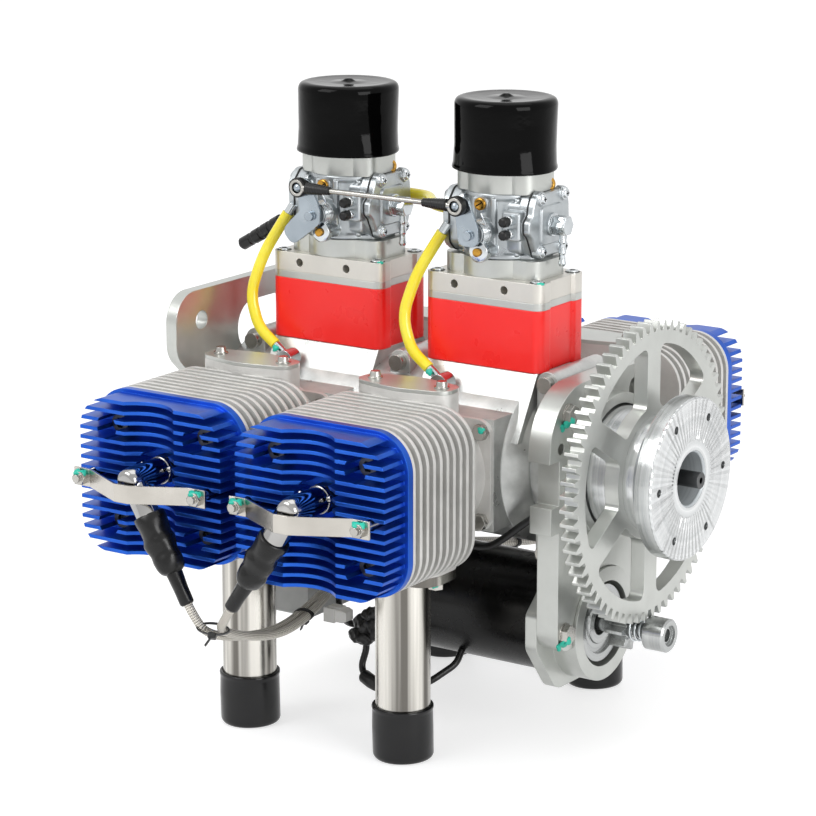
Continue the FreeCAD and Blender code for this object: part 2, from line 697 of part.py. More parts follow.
def strap_blank():
    """A V-bent strip that holds the plug cap against the head."""
    strip = body("strap_blank")
    profile = sketch(strip, "XY_Plane", -s.strap_height / 2)
    end, flat = s.strap_stud_x + s.strap_ear, s.strap_stud_x - s.strap_ear
    nose, thick = s.strap_nose, s.strap_thick
    inner, outer = -STRAP_Y, -STRAP_Y - s.strap_rise
    outline(profile, [
        (-end, inner, 0), (-flat, inner, 1), (-nose, outer, 1),
        (nose, outer, 1), (flat, inner, 1), (end, inner, 0),
        (end, inner - thick, 0), (flat, inner - thick, 1), (nose, outer - thick, 1),
        (-nose, outer - thick, 1), (-flat, inner - thick, 1), (-end, inner - thick, 0),
    ])
    pad(strip, profile, s.strap_height)
    ways = []
    for i, (x, z) in enumerate(STUDS):
        ways.append(cylinder(f"strap_way_{i}", s.strap_stud_r + s.seat, s.strap_rise, (x, -STRAP_Y, z), "-Y"))
    return cut("strap_drilled", strip, ways)


def plug_caps():
    """Shielded elbow caps: a barrel over the plug and a tube that leans towards the lead tie."""
    blank = strap_blank()
    straps = []
    caps = []
    for name, (x, side) in CYLINDERS.items():
        out = "Y" if side > 0 else "-Y"
        straps.append(bank_place(placed(f"strap_{name}", blank, (0, 0, 0)), x, side))
        lean = PLUG_LEAN[name]
        elbow = (x, side * ELBOW_Y, s.plug_z)
        turn = FreeCAD.Rotation(V(0, 0, 1), V(lean, 0, -1))
        down = V(lean, 0, -1).normalize()
        boot_end = s.boot_start + s.boot_length
        barrel_at = (x, side * CAP_START, s.plug_z)
        boot_at = [elbow[i] + down[i] * s.boot_start for i in range(3)]
        tail_at = [elbow[i] + down[i] * boot_end for i in range(3)]
        tube = cylinder(f"cap_tube_{name}", s.cap_tube_r, s.tube_length)
        boot = cylinder(f"cap_boot_{name}", s.boot_r, s.boot_length)
        tail = cone(f"cap_tail_{name}", s.lead_r + 3, s.lead_r + 1.5, s.tail_end - boot_end)
        shell = [
            cylinder(f"cap_barrel_{name}", s.cap_barrel_r, ELBOW_Y - CAP_START, barrel_at, out),
            sphere(f"cap_knuckle_{name}", s.cap_barrel_r, elbow),
            place(tube, elbow, turn),
            place(boot, boot_at, turn),
            place(tail, tail_at, turn),
        ]
        depth = s.plug_hex_height + s.porcelain_length - s.cap_lift + s.gap
        room = cylinder(f"cap_room_{name}", s.porcelain_r + s.gap, depth, barrel_at, out)
        caps.append(cut(f"plug_cap_{name}", fuse(f"cap_shell_{name}", shell), [room]))
    node("plug_straps", group("plug_straps", straps))
    node("plug_caps", group("plug_caps", caps))


PLUG_LEAN = {"near_front": -0.67, "near_rear": 0.57, "far_front": -0.67, "far_rear": 0.57}
CAP_START = HEAD_FACE + s.cap_lift
ELBOW_Y = STRAP_Y + s.strap_rise - s.cap_barrel_r - s.elbow_gap

head_set()
plug_caps()


# ---------------------------------------------------------------------------------------------
# Exhaust stubs and their caps, which the engine stands on
# ---------------------------------------------------------------------------------------------
def cap(name, radius, inner, height, floor, soft, at, along):
    """A soft push-on cap: closed end first, with a round outer shoulder."""
    turned = revolve(name, [
        (0, 0), (0, radius, soft), (height, radius, 0.8), (height, inner, 0.8), (floor, inner), (floor, 0),
    ])
    return place(turned, at, TURN[along].multiply(FreeCAD.Rotation(V(0, 1, 0), -90)))


def exhausts():
    caps = []
    bolts = []
    stubs = []
    for name, (x, side) in CYLINDERS.items():
        y = side * s.exhaust_y
        top = s.exhaust_top
        flange = body(f"exhaust_flange_{name}")
        profile = sketch(flange, "XY_Plane", top)
        rounded(profile, s.exhaust_flange_x, s.exhaust_flange_y, s.exhaust_flange_round)
        pad(flange, profile, s.exhaust_flange_thick)
        place(flange, (x, y, 0))
        pipe = cylinder(f"exhaust_pipe_{name}", s.exhaust_r, top - s.exhaust_end, (x, y, s.exhaust_end))
        length = top + s.exhaust_flange_thick - s.exhaust_end
        way = cylinder(f"exhaust_way_{name}", s.exhaust_r - s.exhaust_wall, length, (x, y, s.exhaust_end))
        stubs.append(cut(f"exhaust_stub_{name}", fuse(f"exhaust_joined_{name}", [pipe, flange]), [way]))
        foot = (x, y, s.exhaust_end - s.exhaust_cap_floor)
        caps.append(cap(f"exhaust_cap_{name}", s.exhaust_cap_r, s.exhaust_r + s.seat, s.exhaust_cap_height,
                        s.exhaust_cap_floor, s.exhaust_cap_round, foot, "Z"))
        for i, right in enumerate((-1, 1)):
            at = (x + right * s.exhaust_bolt_x, y, top)
            bolts.append(
                hexagon(f"exhaust_bolt_{name}{i}", s.exhaust_bolt_r, s.exhaust_bolt_height, at, "-Z")
            )
    node("exhaust_stubs", group("exhaust_stubs", stubs))
    node("exhaust_caps", group("exhaust_caps", caps))
    node("exhaust_bolts", group("exhaust_bolts", bolts))


exhausts()


# ---------------------------------------------------------------------------------------------
# Front plate, propeller hub and ring gear
# ---------------------------------------------------------------------------------------------
STARTER_Z = -(s.gear_module * (s.gear_teeth + s.pinion_teeth) / 2 + s.gap)


def front_plate():
    """The thick plate that joins the case nose to the starter below it."""
    owner = body("front_plate_body")
    profile = sketch(owner, "YZ_Plane", s.case_front_x)
    left, right, shoulder = -s.plate_half_y, s.plate_half_y, -s.plate_shoulder_y
    outline(profile, [
        (left, s.plate_bottom, 13), (right, s.plate_bottom, 13), (right, s.plate_top, 13),
        (shoulder, s.plate_top, 38), (shoulder, s.plate_step, 0), (left, s.plate_step, 0),
        (left, -s.plate_step, 0), (shoulder + 2, -s.plate_step, 0), (shoulder + 2, -s.plate_step * 2.2, 0),
        (left, -s.plate_step * 2.2, 0),
    ])
    pad(owner, profile, PLATE_FRONT_X - s.case_front_x)
    raised = sketch(owner, "YZ_Plane", PLATE_FRONT_X)
    circle(raised, s.plate_boss_r)
    pad(owner, raised, s.plate_boss)
    ways = [
        cylinder("plate_bore", s.plate_bore_r, 60, (s.case_front_x, 0, 0), "X"),
        cylinder("plate_nose_way", s.nose_ring_r + s.gap, 60, (s.case_front_x, 0, STARTER_Z), "X"),
        cylinder("plate_side_hole", s.plate_hole_r, 60, (s.case_front_x, -s.plate_half_y + 1.5, 21), "X"),
    ]
    lower = box("plate_keyhole", (s.case_front_x, PLATE_FRONT_X), (29, 37), (24, 41))
    upper = cylinder("plate_keyhole_top", 6.5, 60, (s.case_front_x, 34, 42), "X")
    node("front_plate", cut("front_plate", owner, ways + [lower, upper]))
    bolts = []
    for i, (y, z) in enumerate(PLATE_BOLTS):
        at = (PLATE_FRONT_X, y, z)
        washer = cylinder(f"plate_washer_{i}", s.plate_bolt_r * 1.7, s.washer, at, "X")
        head = hexagon(f"plate_bolt_head_{i}", s.plate_bolt_r * 1.55, s.plate_bolt_r + s.washer, at, "X")
        bolts.append(fuse(f"plate_bolt_{i}", [washer, head]))
    node("front_plate_bolts", group("front_plate_bolts", bolts))


PLATE_BOLTS = ((-45, 41), (45, 28), (-46, -96), (46, -96))


def hub():
    """Turned propeller hub, and the ring that clamps the gear to it from behind."""
    bore = s.hub_bore_r + s.seat
    neck_end = -s.flange_thick - 9
    gear_back = s.gear_front_x - s.gear_thick
    hub_back = gear_back - 11
    turned = revolve("hub_turning", [
        (0, bore), (0, s.flange_radius - 1), (-1, s.flange_radius), (-s.flange_thick, s.flange_radius),
        (-s.flange_thick - 4, s.neck_radius), (neck_end, s.neck_radius), (neck_end, s.collar_radius),
        (s.gear_front_x, s.collar_radius), (s.gear_front_x, s.gear_spigot_r),
        (hub_back, s.gear_spigot_r), (hub_back, bore),
    ])
    holes = []
    for i in range(6):
        angle = math.radians(60 * i)
        y, z = s.prop_bolt_pcd / 2 * math.cos(angle), s.prop_bolt_pcd / 2 * math.sin(angle)
        holes.append(
            cylinder(f"prop_hole_{i}", s.prop_bolt_hole_r, s.flange_thick, (-s.flange_thick, y, z), "X")
        )
    node("prop_hub", cut("prop_hub", turned, holes))
    ring = revolve("clamp_ring_turning", [
        (gear_back, s.gear_spigot_r + s.seat), (gear_back, CLAMP_R), (gear_back - 17, CLAMP_R),
        (gear_back - 21, CLAMP_R - 8), (gear_back - 21, s.gear_spigot_r + s.seat),
    ])
    node("gear_clamp_ring", ring)


CLAMP_R = s.plate_bore_r - 1.2


def toothed(name, teeth, thickness, start_x, phase):
    """A spur gear blank on the X axis; phase is the angle of its first tooth."""
    module = s.gear_module
    owner = body(name)
    profile = sketch(owner, "YZ_Plane", start_x)
    root = float(module) * (teeth - 2.5) / 2
    tip = float(module) * (teeth + 2) / 2
    half_root, half_tip = 0.98 * float(module), 0.38 * float(module)
    corners = []
    for i in range(teeth):
        angle = math.radians(phase + 360 * i / teeth)
        for radius, shift in ((root, -half_root), (tip, -half_tip), (tip, half_tip), (root, half_root)):
            turn = angle + shift / radius
            corners.append((radius * math.cos(turn), radius * math.sin(turn), 0))
    outline(profile, corners)
    pad(owner, profile, thickness)
    return owner


def ring_gear():
    """The starter ring: a rim on straight spokes, with round-cornered windows between them."""
    back = s.gear_front_x - s.gear_thick
    teeth = SIZES["gear_teeth"]
    blank = toothed("gear_blank", teeth, s.gear_thick, back, 180 / teeth)
    annulus = cut("gear_annulus", cylinder("gear_rim_way", s.gear_rim_r, s.gear_thick, (back, 0, 0), "X"),
                  [cylinder("gear_boss_solid", s.gear_window_inner_r, s.gear_thick, (back, 0, 0), "X")])
    spokes = []
    for i in range(SIZES["spoke_count"]):
        turn = FreeCAD.Rotation(V(1, 0, 0), 360 * i / SIZES["spoke_count"])
        arm = box(
            f"gear_spoke_{i}", (back, back + s.gear_thick), (-s.spoke_width / 2, s.spoke_width / 2),
            (0, 100.0),
        )
        corner = turn.multVec(V(0, -float(s.spoke_width) / 2, 0))
        arm.Placement = FreeCAD.Placement(V(float(back), corner.y, corner.z), turn)
        arm.setExpression("Placement.Base.x", text_of(back))
        arm.setExpression("Placement.Base.y", None)
        arm.setExpression("Placement.Base.z", None)
        spokes.append(arm)
    windows = cut("gear_windows", annulus, spokes)
    doc.recompute()
    soft = doc.addObject("Part::Fillet", "gear_windows_round")
    soft.Base = windows
    edges = [i for i, edge in enumerate(windows.Shape.Edges, 1) if is_along_x(edge)]
    soft.Edges = [(i, 5.0, 5.0) for i in edges]
    way = cylinder("gear_bore", s.gear_spigot_r + s.seat, s.gear_thick, (back, 0, 0), "X")
    node("ring_gear", cut("ring_gear", blank, [soft, way]))


def is_along_x(edge):
    start, end = edge.Vertexes[0].Point, edge.Vertexes[-1].Point
    return abs(start.x - end.x) > 1 and abs(start.y - end.y) < 0.01 and abs(start.z - end.z) < 0.01


front_plate()
hub()
ring_gear()


# ---------------------------------------------------------------------------------------------
# Inertia starter: motor, nose, shaft with its stop cup, pinion and return spring
# ---------------------------------------------------------------------------------------------
def starter():
    nose_front = PLATE_FRONT_X + 2
    flange_x = s.case_front_x - s.nose_flange
    ring = cylinder(
        "nose_ring", s.nose_ring_r, nose_front - s.case_front_x, (s.case_front_x, 0, STARTER_Z), "X",
    )
    flange = body("nose_flange")
    profile = sketch(flange, "YZ_Plane", flange_x)
    low = STARTER_Z - s.nose_ring_r - 2
    outline(profile, [
        (-s.plate_half_y, -86, 6), (-s.plate_half_y, s.plate_bottom, 10), (-30, low, 14),
        (30, low, 14), (s.plate_half_y, s.plate_bottom, 10), (s.plate_half_y, -86, 6),
        (30, STARTER_Z + s.nose_ring_r, 14), (-30, STARTER_Z + s.nose_ring_r, 14),
    ])
    pad(flange, profile, s.nose_flange)
    bore = cylinder("nose_bore", s.nose_bore_r, 12, (nose_front - 12, 0, STARTER_Z), "X")
    shaft_way = cylinder("nose_shaft_way", s.starter_shaft_r + s.seat, 60, (flange_x, 0, STARTER_Z), "X")
    node("starter_nose", cut("starter_nose", fuse("nose_solid", [ring, flange]), [bore, shaft_way]))

    motor = cylinder(
        "motor_can", s.starter_r, s.starter_length, (flange_x - s.starter_length, 0, STARTER_Z), "X",
    )
    rear = cone(
        "motor_end", s.starter_r - 6, s.starter_r - 1, s.starter_cap,
        (flange_x - s.starter_length - s.starter_cap, 0, STARTER_Z), "X",
    )
    pocket_way = cylinder("motor_shaft_way", s.starter_shaft_r + 1, 12, (flange_x - 12, 0, STARTER_Z), "X")
    node("starter_motor", cut("starter_motor", fuse("motor_solid", [motor, rear]), [pocket_way]))

    shaft = cylinder(
        "starter_spindle", s.starter_shaft_r, s.cup_front_x - flange_x - 2, (flange_x - 6, 0, STARTER_Z),
        "X",
    )
    cup_back = s.cup_front_x - s.cup_length
    cup = revolve("cup_turning", [
        (cup_back, s.starter_shaft_r - 1), (cup_back, s.cup_radius), (s.cup_front_x - 1, s.cup_radius),
        (s.cup_front_x, s.cup_radius - 1), (s.cup_front_x, 6.5), (s.cup_front_x - 2, 6.5),
        (s.cup_front_x - 2, s.starter_shaft_r - 1),
    ])
    place(cup, (0, 0, STARTER_Z))
    node("starter_shaft", fuse("starter_shaft", [shaft, cup]))

    pinion_front = s.gear_front_x - s.gear_thick - s.pinion_gap
    teeth = SIZES["pinion_teeth"]
    blank = toothed("pinion_blank", teeth, s.pinion_width, pinion_front - s.pinion_width, 90)
    place(blank, (0, 0, STARTER_Z))
    way = cylinder(
        "pinion_way", s.starter_shaft_r + s.seat, s.pinion_width,
        (pinion_front - s.pinion_width, 0, STARTER_Z), "X",
    )
    node("starter_pinion", cut("starter_pinion", blank, [way]))

    length = cup_back - pinion_front - s.gap * 2
    pitch = (length - s.spring_wire * 2) / s.spring_turns
    helix = Part.makeHelix(float(pitch), float(length - s.spring_wire * 2), float(s.spring_r - s.spring_wire))
    start = helix.Vertexes[0].Point
    section = Part.Wire(Part.makeCircle(float(s.spring_wire), start, V(0, 1, 0.1)))
    coil = Part.Wire(helix.Edges).makePipeShell([section], True, True)
    spring = doc.addObject("Part::Feature", "pinion_spring")
    spring.Shape = coil
    place(spring, (pinion_front + s.gap + s.spring_wire, 0, STARTER_Z), TURN["X"])
    node("pinion_spring", spring)


starter()


# ---------------------------------------------------------------------------------------------
# Intake stacks: reed block, insulator, plate, flanges, carburettor and dust cap
# ---------------------------------------------------------------------------------------------
def block(name, stack_x, bottom, height, inset):
    """A rectangular block with corner columns; its short sides are recessed between them."""
    owner = body(name)
    profile = sketch(owner, "XY_Plane", bottom)
    half_x, half_y, corner = s.block_x / 2, s.block_y / 2, s.block_corner
    column = half_y - corner * 2
    outline(profile, [
        (-half_x, -half_y, corner), (half_x, -half_y, corner), (half_x, -column, 2),
        (half_x - inset, -column + inset, 1), (half_x - inset, column - inset, 1),
        (half_x, column, 2), (half_x, half_y, corner), (-half_x, half_y, corner),
        (-half_x, column, 2), (-half_x + inset, column - inset, 1),
        (-half_x + inset, -column + inset, 1), (-half_x, -column, 2),
    ])
    pad(owner, profile, height)
    return place(owner, (stack_x, 0, 0))


def lobed(name, stack_x, bottom, height, half_x, half_y, round_r):
    """A flange with a round middle and squarer ears towards both ends."""
    owner = body(f"{name}_ears")
    profile = sketch(owner, "XY_Plane", bottom)
    rounded(profile, half_x, half_y, half_y * 0.55)
    pad(owner, profile, height)
    place(owner, (stack_x, 0, 0))
    middle = cylinder(f"{name}_middle", round_r, height, (stack_x, 0, bottom))
    return fuse(f"{name}_solid", [owner, middle])


def carburettor(end, stack_x, bottom):
    """The die-cast body, its pump cover on the left and its metering cover on the right."""
    top = bottom + s.carb_height
    middle_z = bottom + s.carb_height / 2
    core = cylinder(f"carb_core_{end}", s.carb_core_r, s.carb_height, (stack_x, 0, bottom))
    left, right = stack_x - s.carb_width / 2, stack_x + s.carb_width / 2
    trunk = box(
        f"carb_trunk_{end}", (left, right), (-s.carb_core_r + 4, s.carb_core_r - 4), (bottom + 3, top - 3),
    )
    boss = cylinder(f"carb_shaft_boss_{end}", 7, s.lever_y - 3, (stack_x, 0, bottom + s.lever_z), "-Y")
    upper_boss = cylinder(f"carb_jet_boss_{end}", 5.5, 32, (stack_x + 15, 0, middle_z + 3), "-Y")
    way = cylinder(f"carb_way_{end}", s.carb_bore_r, 60, (stack_x, 0, bottom - 5))
    shaft_way = cylinder(
        f"carb_shaft_way_{end}", s.throttle_r + s.seat, 90, (stack_x, -45, bottom + s.lever_z), "Y",
    )
    whole = fuse(f"carb_solid_{end}", [core, trunk, boss, upper_boss])
    node(f"carb_body_{end}", cut(f"carb_body_{end}", whole, [way, shaft_way]))

    half = s.cover_y / 2
    pump = fuse(f"pump_cover_{end}", [
        cylinder(f"pump_flange_{end}", half, s.pump_cover / 2, (left, 0, middle_z), "-X"),
        cylinder(f"pump_dome_{end}", half - 3, s.pump_cover, (left, 0, middle_z), "-X"),
    ])
    owner = body(f"metering_cover_{end}")
    profile = sketch(owner, "YZ_Plane", 0.0)
    chamfer = half * 0.45
    outline(profile, [
        (-half + chamfer, -half + 3, 3), (half - chamfer, -half + 3, 3), (half, -half + 3 + chamfer, 3),
        (half, half - 3 - chamfer, 3), (half - chamfer, half - 3, 3), (-half + chamfer, half - 3, 3),
        (-half, half - 3 - chamfer, 3), (-half, -half + 3 + chamfer, 3),
    ])
    pad(owner, profile, s.meter_cover - 4)
    place(owner, (right, 0, middle_z))
    nipple = hexagon(f"banjo_{end}", 5, 8, (right + s.meter_cover - 4, 0, middle_z - 2), "X")
    return pump, fuse(f"meter_cover_{end}", [owner, nipple])


def throttle(end, stack_x, bottom, second_arm):
    """Throttle shaft with its butterfly, lever and ball stud, all one moving piece."""
    z = bottom + s.lever_z
    plane_y = -s.lever_y
    spindle = cylinder(
        f"throttle_spindle_{end}", s.throttle_r, s.lever_y + s.carb_core_r, (stack_x, plane_y, z), "Y",
    )
    disc = cylinder(f"throttle_disc_{end}", s.carb_bore_r - s.gap, 1.6, (stack_x, 0, z - 0.8))
    owner = body(f"throttle_lever_{end}")
    profile = sketch(owner, "XZ_Plane", s.lever_y)
    arm_x, arm_z = s.lever_arm_x, s.lever_arm_z
    outline(
        profile,
        [(-7, -7, 5), (7, -7, 5), (7, 4, 5), (arm_x + 5, arm_z + 5, 4.5), (arm_x - 5, arm_z + 5, 4.5)],
    )
    pad(owner, profile, s.lever_thick)
    place(owner, (stack_x, 0, z))
    parts = [spindle, disc, owner]
    if second_arm:
        arm = body(f"cable_arm_{end}")
        profile = sketch(arm, "XZ_Plane", s.lever_y)
        outline(profile, [(4, -7, 4), (7, 5, 5), (-5, 6, 5), (-22, -11, 5), (-14, -20, 5)])
        pad(arm, profile, s.lever_thick)
        place(arm, (stack_x, 0, z))
        parts.append(arm)
    stud_x, stud_z = stack_x + arm_x, z + arm_z
    parts.append(
        cylinder(f"ball_stem_{end}", 2.2, s.rod_y - s.lever_y - 1, (stud_x, -s.rod_y + 1, stud_z), "Y")
    )
    parts.append(sphere(f"ball_{end}", s.ball_r, (stud_x, -s.rod_y, stud_z)))
    screw = cylinder(f"lever_screw_{end}", 3, 2.5, (stack_x, plane_y - s.lever_thick, z), "-Y")
    node(f"throttle_shaft_{end}", fuse(f"throttle_shaft_{end}", parts + [screw]))


def throttle_rod(bottom):
    """The link between both ball studs."""
    z = bottom + s.lever_z + s.lever_arm_z
    parts = []
    ways = []
    for end, stack_x in STACKS.items():
        x = stack_x + s.lever_arm_x
        inward = 1 if end == "rear" else -1
        parts.append(cylinder(f"joint_{end}", s.joint_r, 5, (x, -s.rod_y - 2.5, z), "Y"))
        parts.append(cylinder(f"joint_neck_{end}", 2.8, 20, (x, -s.rod_y, z), "X" if inward > 0 else "-X"))
        ways.append(cylinder(f"joint_way_{end}", s.ball_r + s.gap, 9, (x, -s.rod_y - 4.5, z), "Y"))
    reach = CYLINDER_PITCH
    parts.append(cylinder("rod_bar", s.rod_r, reach, (STACKS["rear"] + s.lever_arm_x, -s.rod_y, z), "X"))
    node("throttle_rod", cut("throttle_rod", fuse("rod_solid", parts), ways))


def carb_cap(end, stack_x, bottom):
    """The soft dust cap pushed over the inlet ring, with a small moulding nub on top."""
    top = (stack_x, 0, bottom + s.carb_cap_height)
    skin = cap(f"carb_cap_skin_{end}", s.carb_cap_r, s.carb_cap_r - s.carb_cap_wall, s.carb_cap_height,
               s.carb_cap_wall, s.carb_cap_round, top, "-Z")
    return fuse(f"carb_cap_{end}", [skin, cylinder(f"carb_cap_nub_{end}", s.nub_r, s.nub_height, top)])


STACK_NODES = ("reed_blocks", "insulators", "carb_plates", "carb_flanges", "pump_covers", "metering_covers",
               "inlet_flanges", "carb_caps")


def stacks():
    shared = {name: [] for name in STACK_NODES}
    for end, stack_x in STACKS.items():
        level = s.riser_top
        shared["reed_blocks"].append(block(f"reed_block_{end}", stack_x, level, s.block_top - level, 2.0))
        level = s.block_top
        shared["insulators"].append(block(f"insulator_{end}", stack_x, level, s.spacer_thick, 2.0))
        level = level + s.spacer_thick
        plate = block(f"carb_plate_blank_{end}", stack_x, level, s.carb_plate_thick, 2.0)
        drill = [
            cylinder(f"plate_drill_{end}{i}", 2.6, 12, (stack_x + dx, -s.block_y / 2, level + 6), "Y") for i,
            dx in enumerate((-20, 16))
        ]
        shared["carb_plates"].append(cut(f"carb_plate_{end}", plate, drill))
        level = level + s.carb_plate_thick
        flange = lobed(f"carb_flange_{end}", stack_x, level, s.lower_adaptor, 35, 19, 26)
        way = cylinder(f"flange_way_{end}", s.carb_bore_r, 60, (stack_x, 0, level + 0.5))
        shared["carb_flanges"].append(cut(f"carb_flange_{end}", flange, [way]))
        level = level + s.lower_adaptor
        pump, meter = carburettor(end, stack_x, level)
        shared["pump_covers"].append(pump)
        shared["metering_covers"].append(meter)
        throttle(end, stack_x, level, end == "rear")
        if end == "front":
            throttle_rod(level)
        level = level + s.carb_height
        inlet = lobed(f"inlet_flange_{end}", stack_x, level, s.upper_adaptor, 28, 18, 24)
        ring_at = (stack_x, 0, level + s.upper_adaptor)
        ring = cylinder(
            f"inlet_ring_{end}", s.carb_cap_r - s.carb_cap_wall - s.seat, s.inlet_ring_height, ring_at,
        )
        way = cylinder(f"inlet_way_{end}", s.carb_bore_r, 60, (stack_x, 0, level - 1))
        shared["inlet_flanges"].append(
            cut(f"inlet_flange_cut_{end}", fuse(f"inlet_joined_{end}", [inlet, ring]), [way])
        )
        shared["carb_caps"].append(carb_cap(end, stack_x, level + s.upper_adaptor))
    for name, parts in shared.items():
        node(name, group(name, parts))


stacks()


# ---------------------------------------------------------------------------------------------
# Rear mounting plate, ignition module, hoses and leads
# ---------------------------------------------------------------------------------------------
def rear_plate():
    owner = body("mount_plate_body")
    profile = sketch(owner, "YZ_Plane", CASE_REAR_X - s.mount_thick)
    wide, end = s.mount_bore_y + 26, s.mount_end_r
    top, arm = s.mount_bore_z + end, s.mount_bore_z - end
    low, low_arm = s.mount_low_z - end, s.mount_low_z + end
    outline(profile, [
        (-wide, top, 19), (-wide, arm, 18), (-50, 12, 14), (-50, -26, 14), (-wide, low_arm, 14),
        (-wide, low, 18),
        (-40, low, 14), (-20, low + 26, 14), (20, low + 26, 14), (40, low, 14),
        (wide, low, 18), (wide, low_arm, 14), (50, -26, 14), (50, 12, 14), (wide, arm, 18), (wide, top, 19),
    ])
    pad(owner, profile, s.mount_thick)
    ways = [cylinder("mount_centre", s.shaft_radius + 8, 60, (CASE_REAR_X - 20, 0, 0), "X")]
    for i, (y, z) in enumerate(
        ((-1, s.mount_bore_z), (1, s.mount_bore_z), (-1, s.mount_low_z), (1, s.mount_low_z))
    ):
        ways.append(
            cylinder(f"mount_bore_{i}", s.mount_bore_r, 60, (CASE_REAR_X - 20, y * s.mount_bore_y, z), "X")
        )
    back = CASE_REAR_X - s.mount_thick
    bolts = []
    for i in range(6):
        angle = math.radians(60 * i)
        at = (back, s.mount_bolt_circle * math.cos(angle), s.mount_bolt_circle * math.sin(angle))
        ways.append(cylinder(f"mount_counterbore_{i}", s.mount_bolt_r + s.gap, s.mount_bolt_height, at, "X"))
        head = cylinder(f"mount_bolt_head_{i}", s.mount_bolt_r, s.mount_bolt_height, at, "X")
        bolts.append(
            cut(f"mount_bolt_{i}", head, [hexagon(f"mount_bolt_key_{i}", s.key_r, s.key_depth, at, "X")])
        )
    slot = body("mount_slot_body")
    shape = sketch(slot, "YZ_Plane", CASE_REAR_X - 20)
    rounded(shape, s.mount_slot_half_y, s.mount_slot_r, s.mount_slot_r - 0.5, 0, s.mount_slot_z)
    pad(slot, shape, 40)
    node("rear_mount_plate", cut("rear_mount_plate", owner, ways + [slot]))
    node("rear_plate_bolts", group("rear_plate_bolts", bolts))


def ignition():
    """The sealed ignition module under the rear of the case."""
    top = -s.boss_z - s.boss_radius - s.gap
    case = body("ignition_case")
    profile = sketch(case, "YZ_Plane", MODULE_X - s.module_length)
    rounded(
        profile, s.module_half_y, (top - s.module_bottom) / 2, s.module_corner, 0,
        (top + s.module_bottom) / 2,
    )
    pad(case, profile, s.module_length)
    node("ignition_module", case)


def leads():
    """Braided plug leads: both of a bank meet at a tie, then run inwards to the module together."""
    face = float(MODULE_X)
    entry_z = float(s.module_bottom) + LEAD_ENTRY_UP
    reach = float(FIN_TIP)
    tubes = []
    for name, (x, side) in CYLINDERS.items():
        down = V(PLUG_LEAN[name], 0, -1).normalize()
        start = V(float(x), side * float(ELBOW_Y), float(s.plug_z)) + down * float(s.tail_end)
        ahead = start + down * 22
        strand = 0.0 if name.endswith("front") else float(s.lead_pitch)
        tie_x = float(MIDDLE_X) + side * float(s.bank_offset) / 2 - strand
        entry_y = side * (20 + strand)
        route = [
            start,
            start + down * 8,
            V(tie_x, side * (reach + 11), ahead.z),
            V(tie_x - 4, side * (reach - 40), -98),
            V(tie_x - 2, side * (reach - 72), -98.5),
            V((tie_x + face) / 2 + 16, side * (reach - 128), -88),
            V(face + 24, entry_y, entry_z),
            V(face, entry_y, entry_z),
        ]
        tubes.append(tube(f"lead_{name}", route, s.lead_r))
    node("ignition_leads", group("ignition_leads", tubes))


LEAD_ENTRY_UP = 41.0


def soft_block(name, xs, ys, zs, corner):
    """A moulded housing: a rectangle with round corners in Y and Z, drawn along X."""
    owner = body(name)
    profile = sketch(owner, "YZ_Plane", xs[0])
    rounded(
        profile, (ys[1] - ys[0]) / 2, (zs[1] - zs[0]) / 2, corner, (ys[0] + ys[1]) / 2,
        (zs[0] + zs[1]) / 2,
    )
    pad(owner, profile, xs[1] - xs[0])
    return owner


def wiring():
    """The trigger cable and the starter cable, with their connectors tied to the motor's side."""
    side_y = -s.starter_r - s.gap
    motor_back = s.case_front_x - s.nose_flange - s.starter_length
    black_x = (motor_back - 19, motor_back + 9)
    white_x = (motor_back - 35, motor_back - 19)
    black = soft_block("connector_black", black_x, (side_y - 20, side_y), (STARTER_Z - 24, STARTER_Z - 6), 3)
    white = soft_block(
        "connector_white", white_x, (side_y - 24, side_y - 13), (STARTER_Z - 13, STARTER_Z - 4), 1,
    )
    node("wiring_connectors", fuse("wiring_connectors", [black, white]))

    face, plug_x = float(MODULE_X), float(black_x[0])
    trigger = tube("trigger_cable", [
        (face, -12, -112), (face + 10, -12, -112), (face + 27, -34, -120), (plug_x - 7, -44, -119),
        (plug_x, -44, -119),
    ], s.wire_r)
    can_r, out_y, out_z = float(s.starter_r), *FEED_SIDE
    can_z, under, back = float(STARTER_Z), float(STARTER_Z) - 24, float(motor_back)
    feed = tube("starter_cable", [
        (back - 10, -48, under), (back - 10, -48, under - 7), (back - 12, -52, under - 20),
        (back + 6, -58, under - 27), (back + 33, -50, under - 24),
        (back + 46, out_y * (can_r + 10), can_z + out_z * (can_r + 10)),
        (back + 46, out_y * can_r, can_z + out_z * can_r),
    ], s.wire_r)
    node("wiring", group("wiring", [trigger, feed]))


# Where the starter cable meets the motor's side, as a direction in Y and Z from its axis.
FEED_SIDE = (-0.637, -0.771)


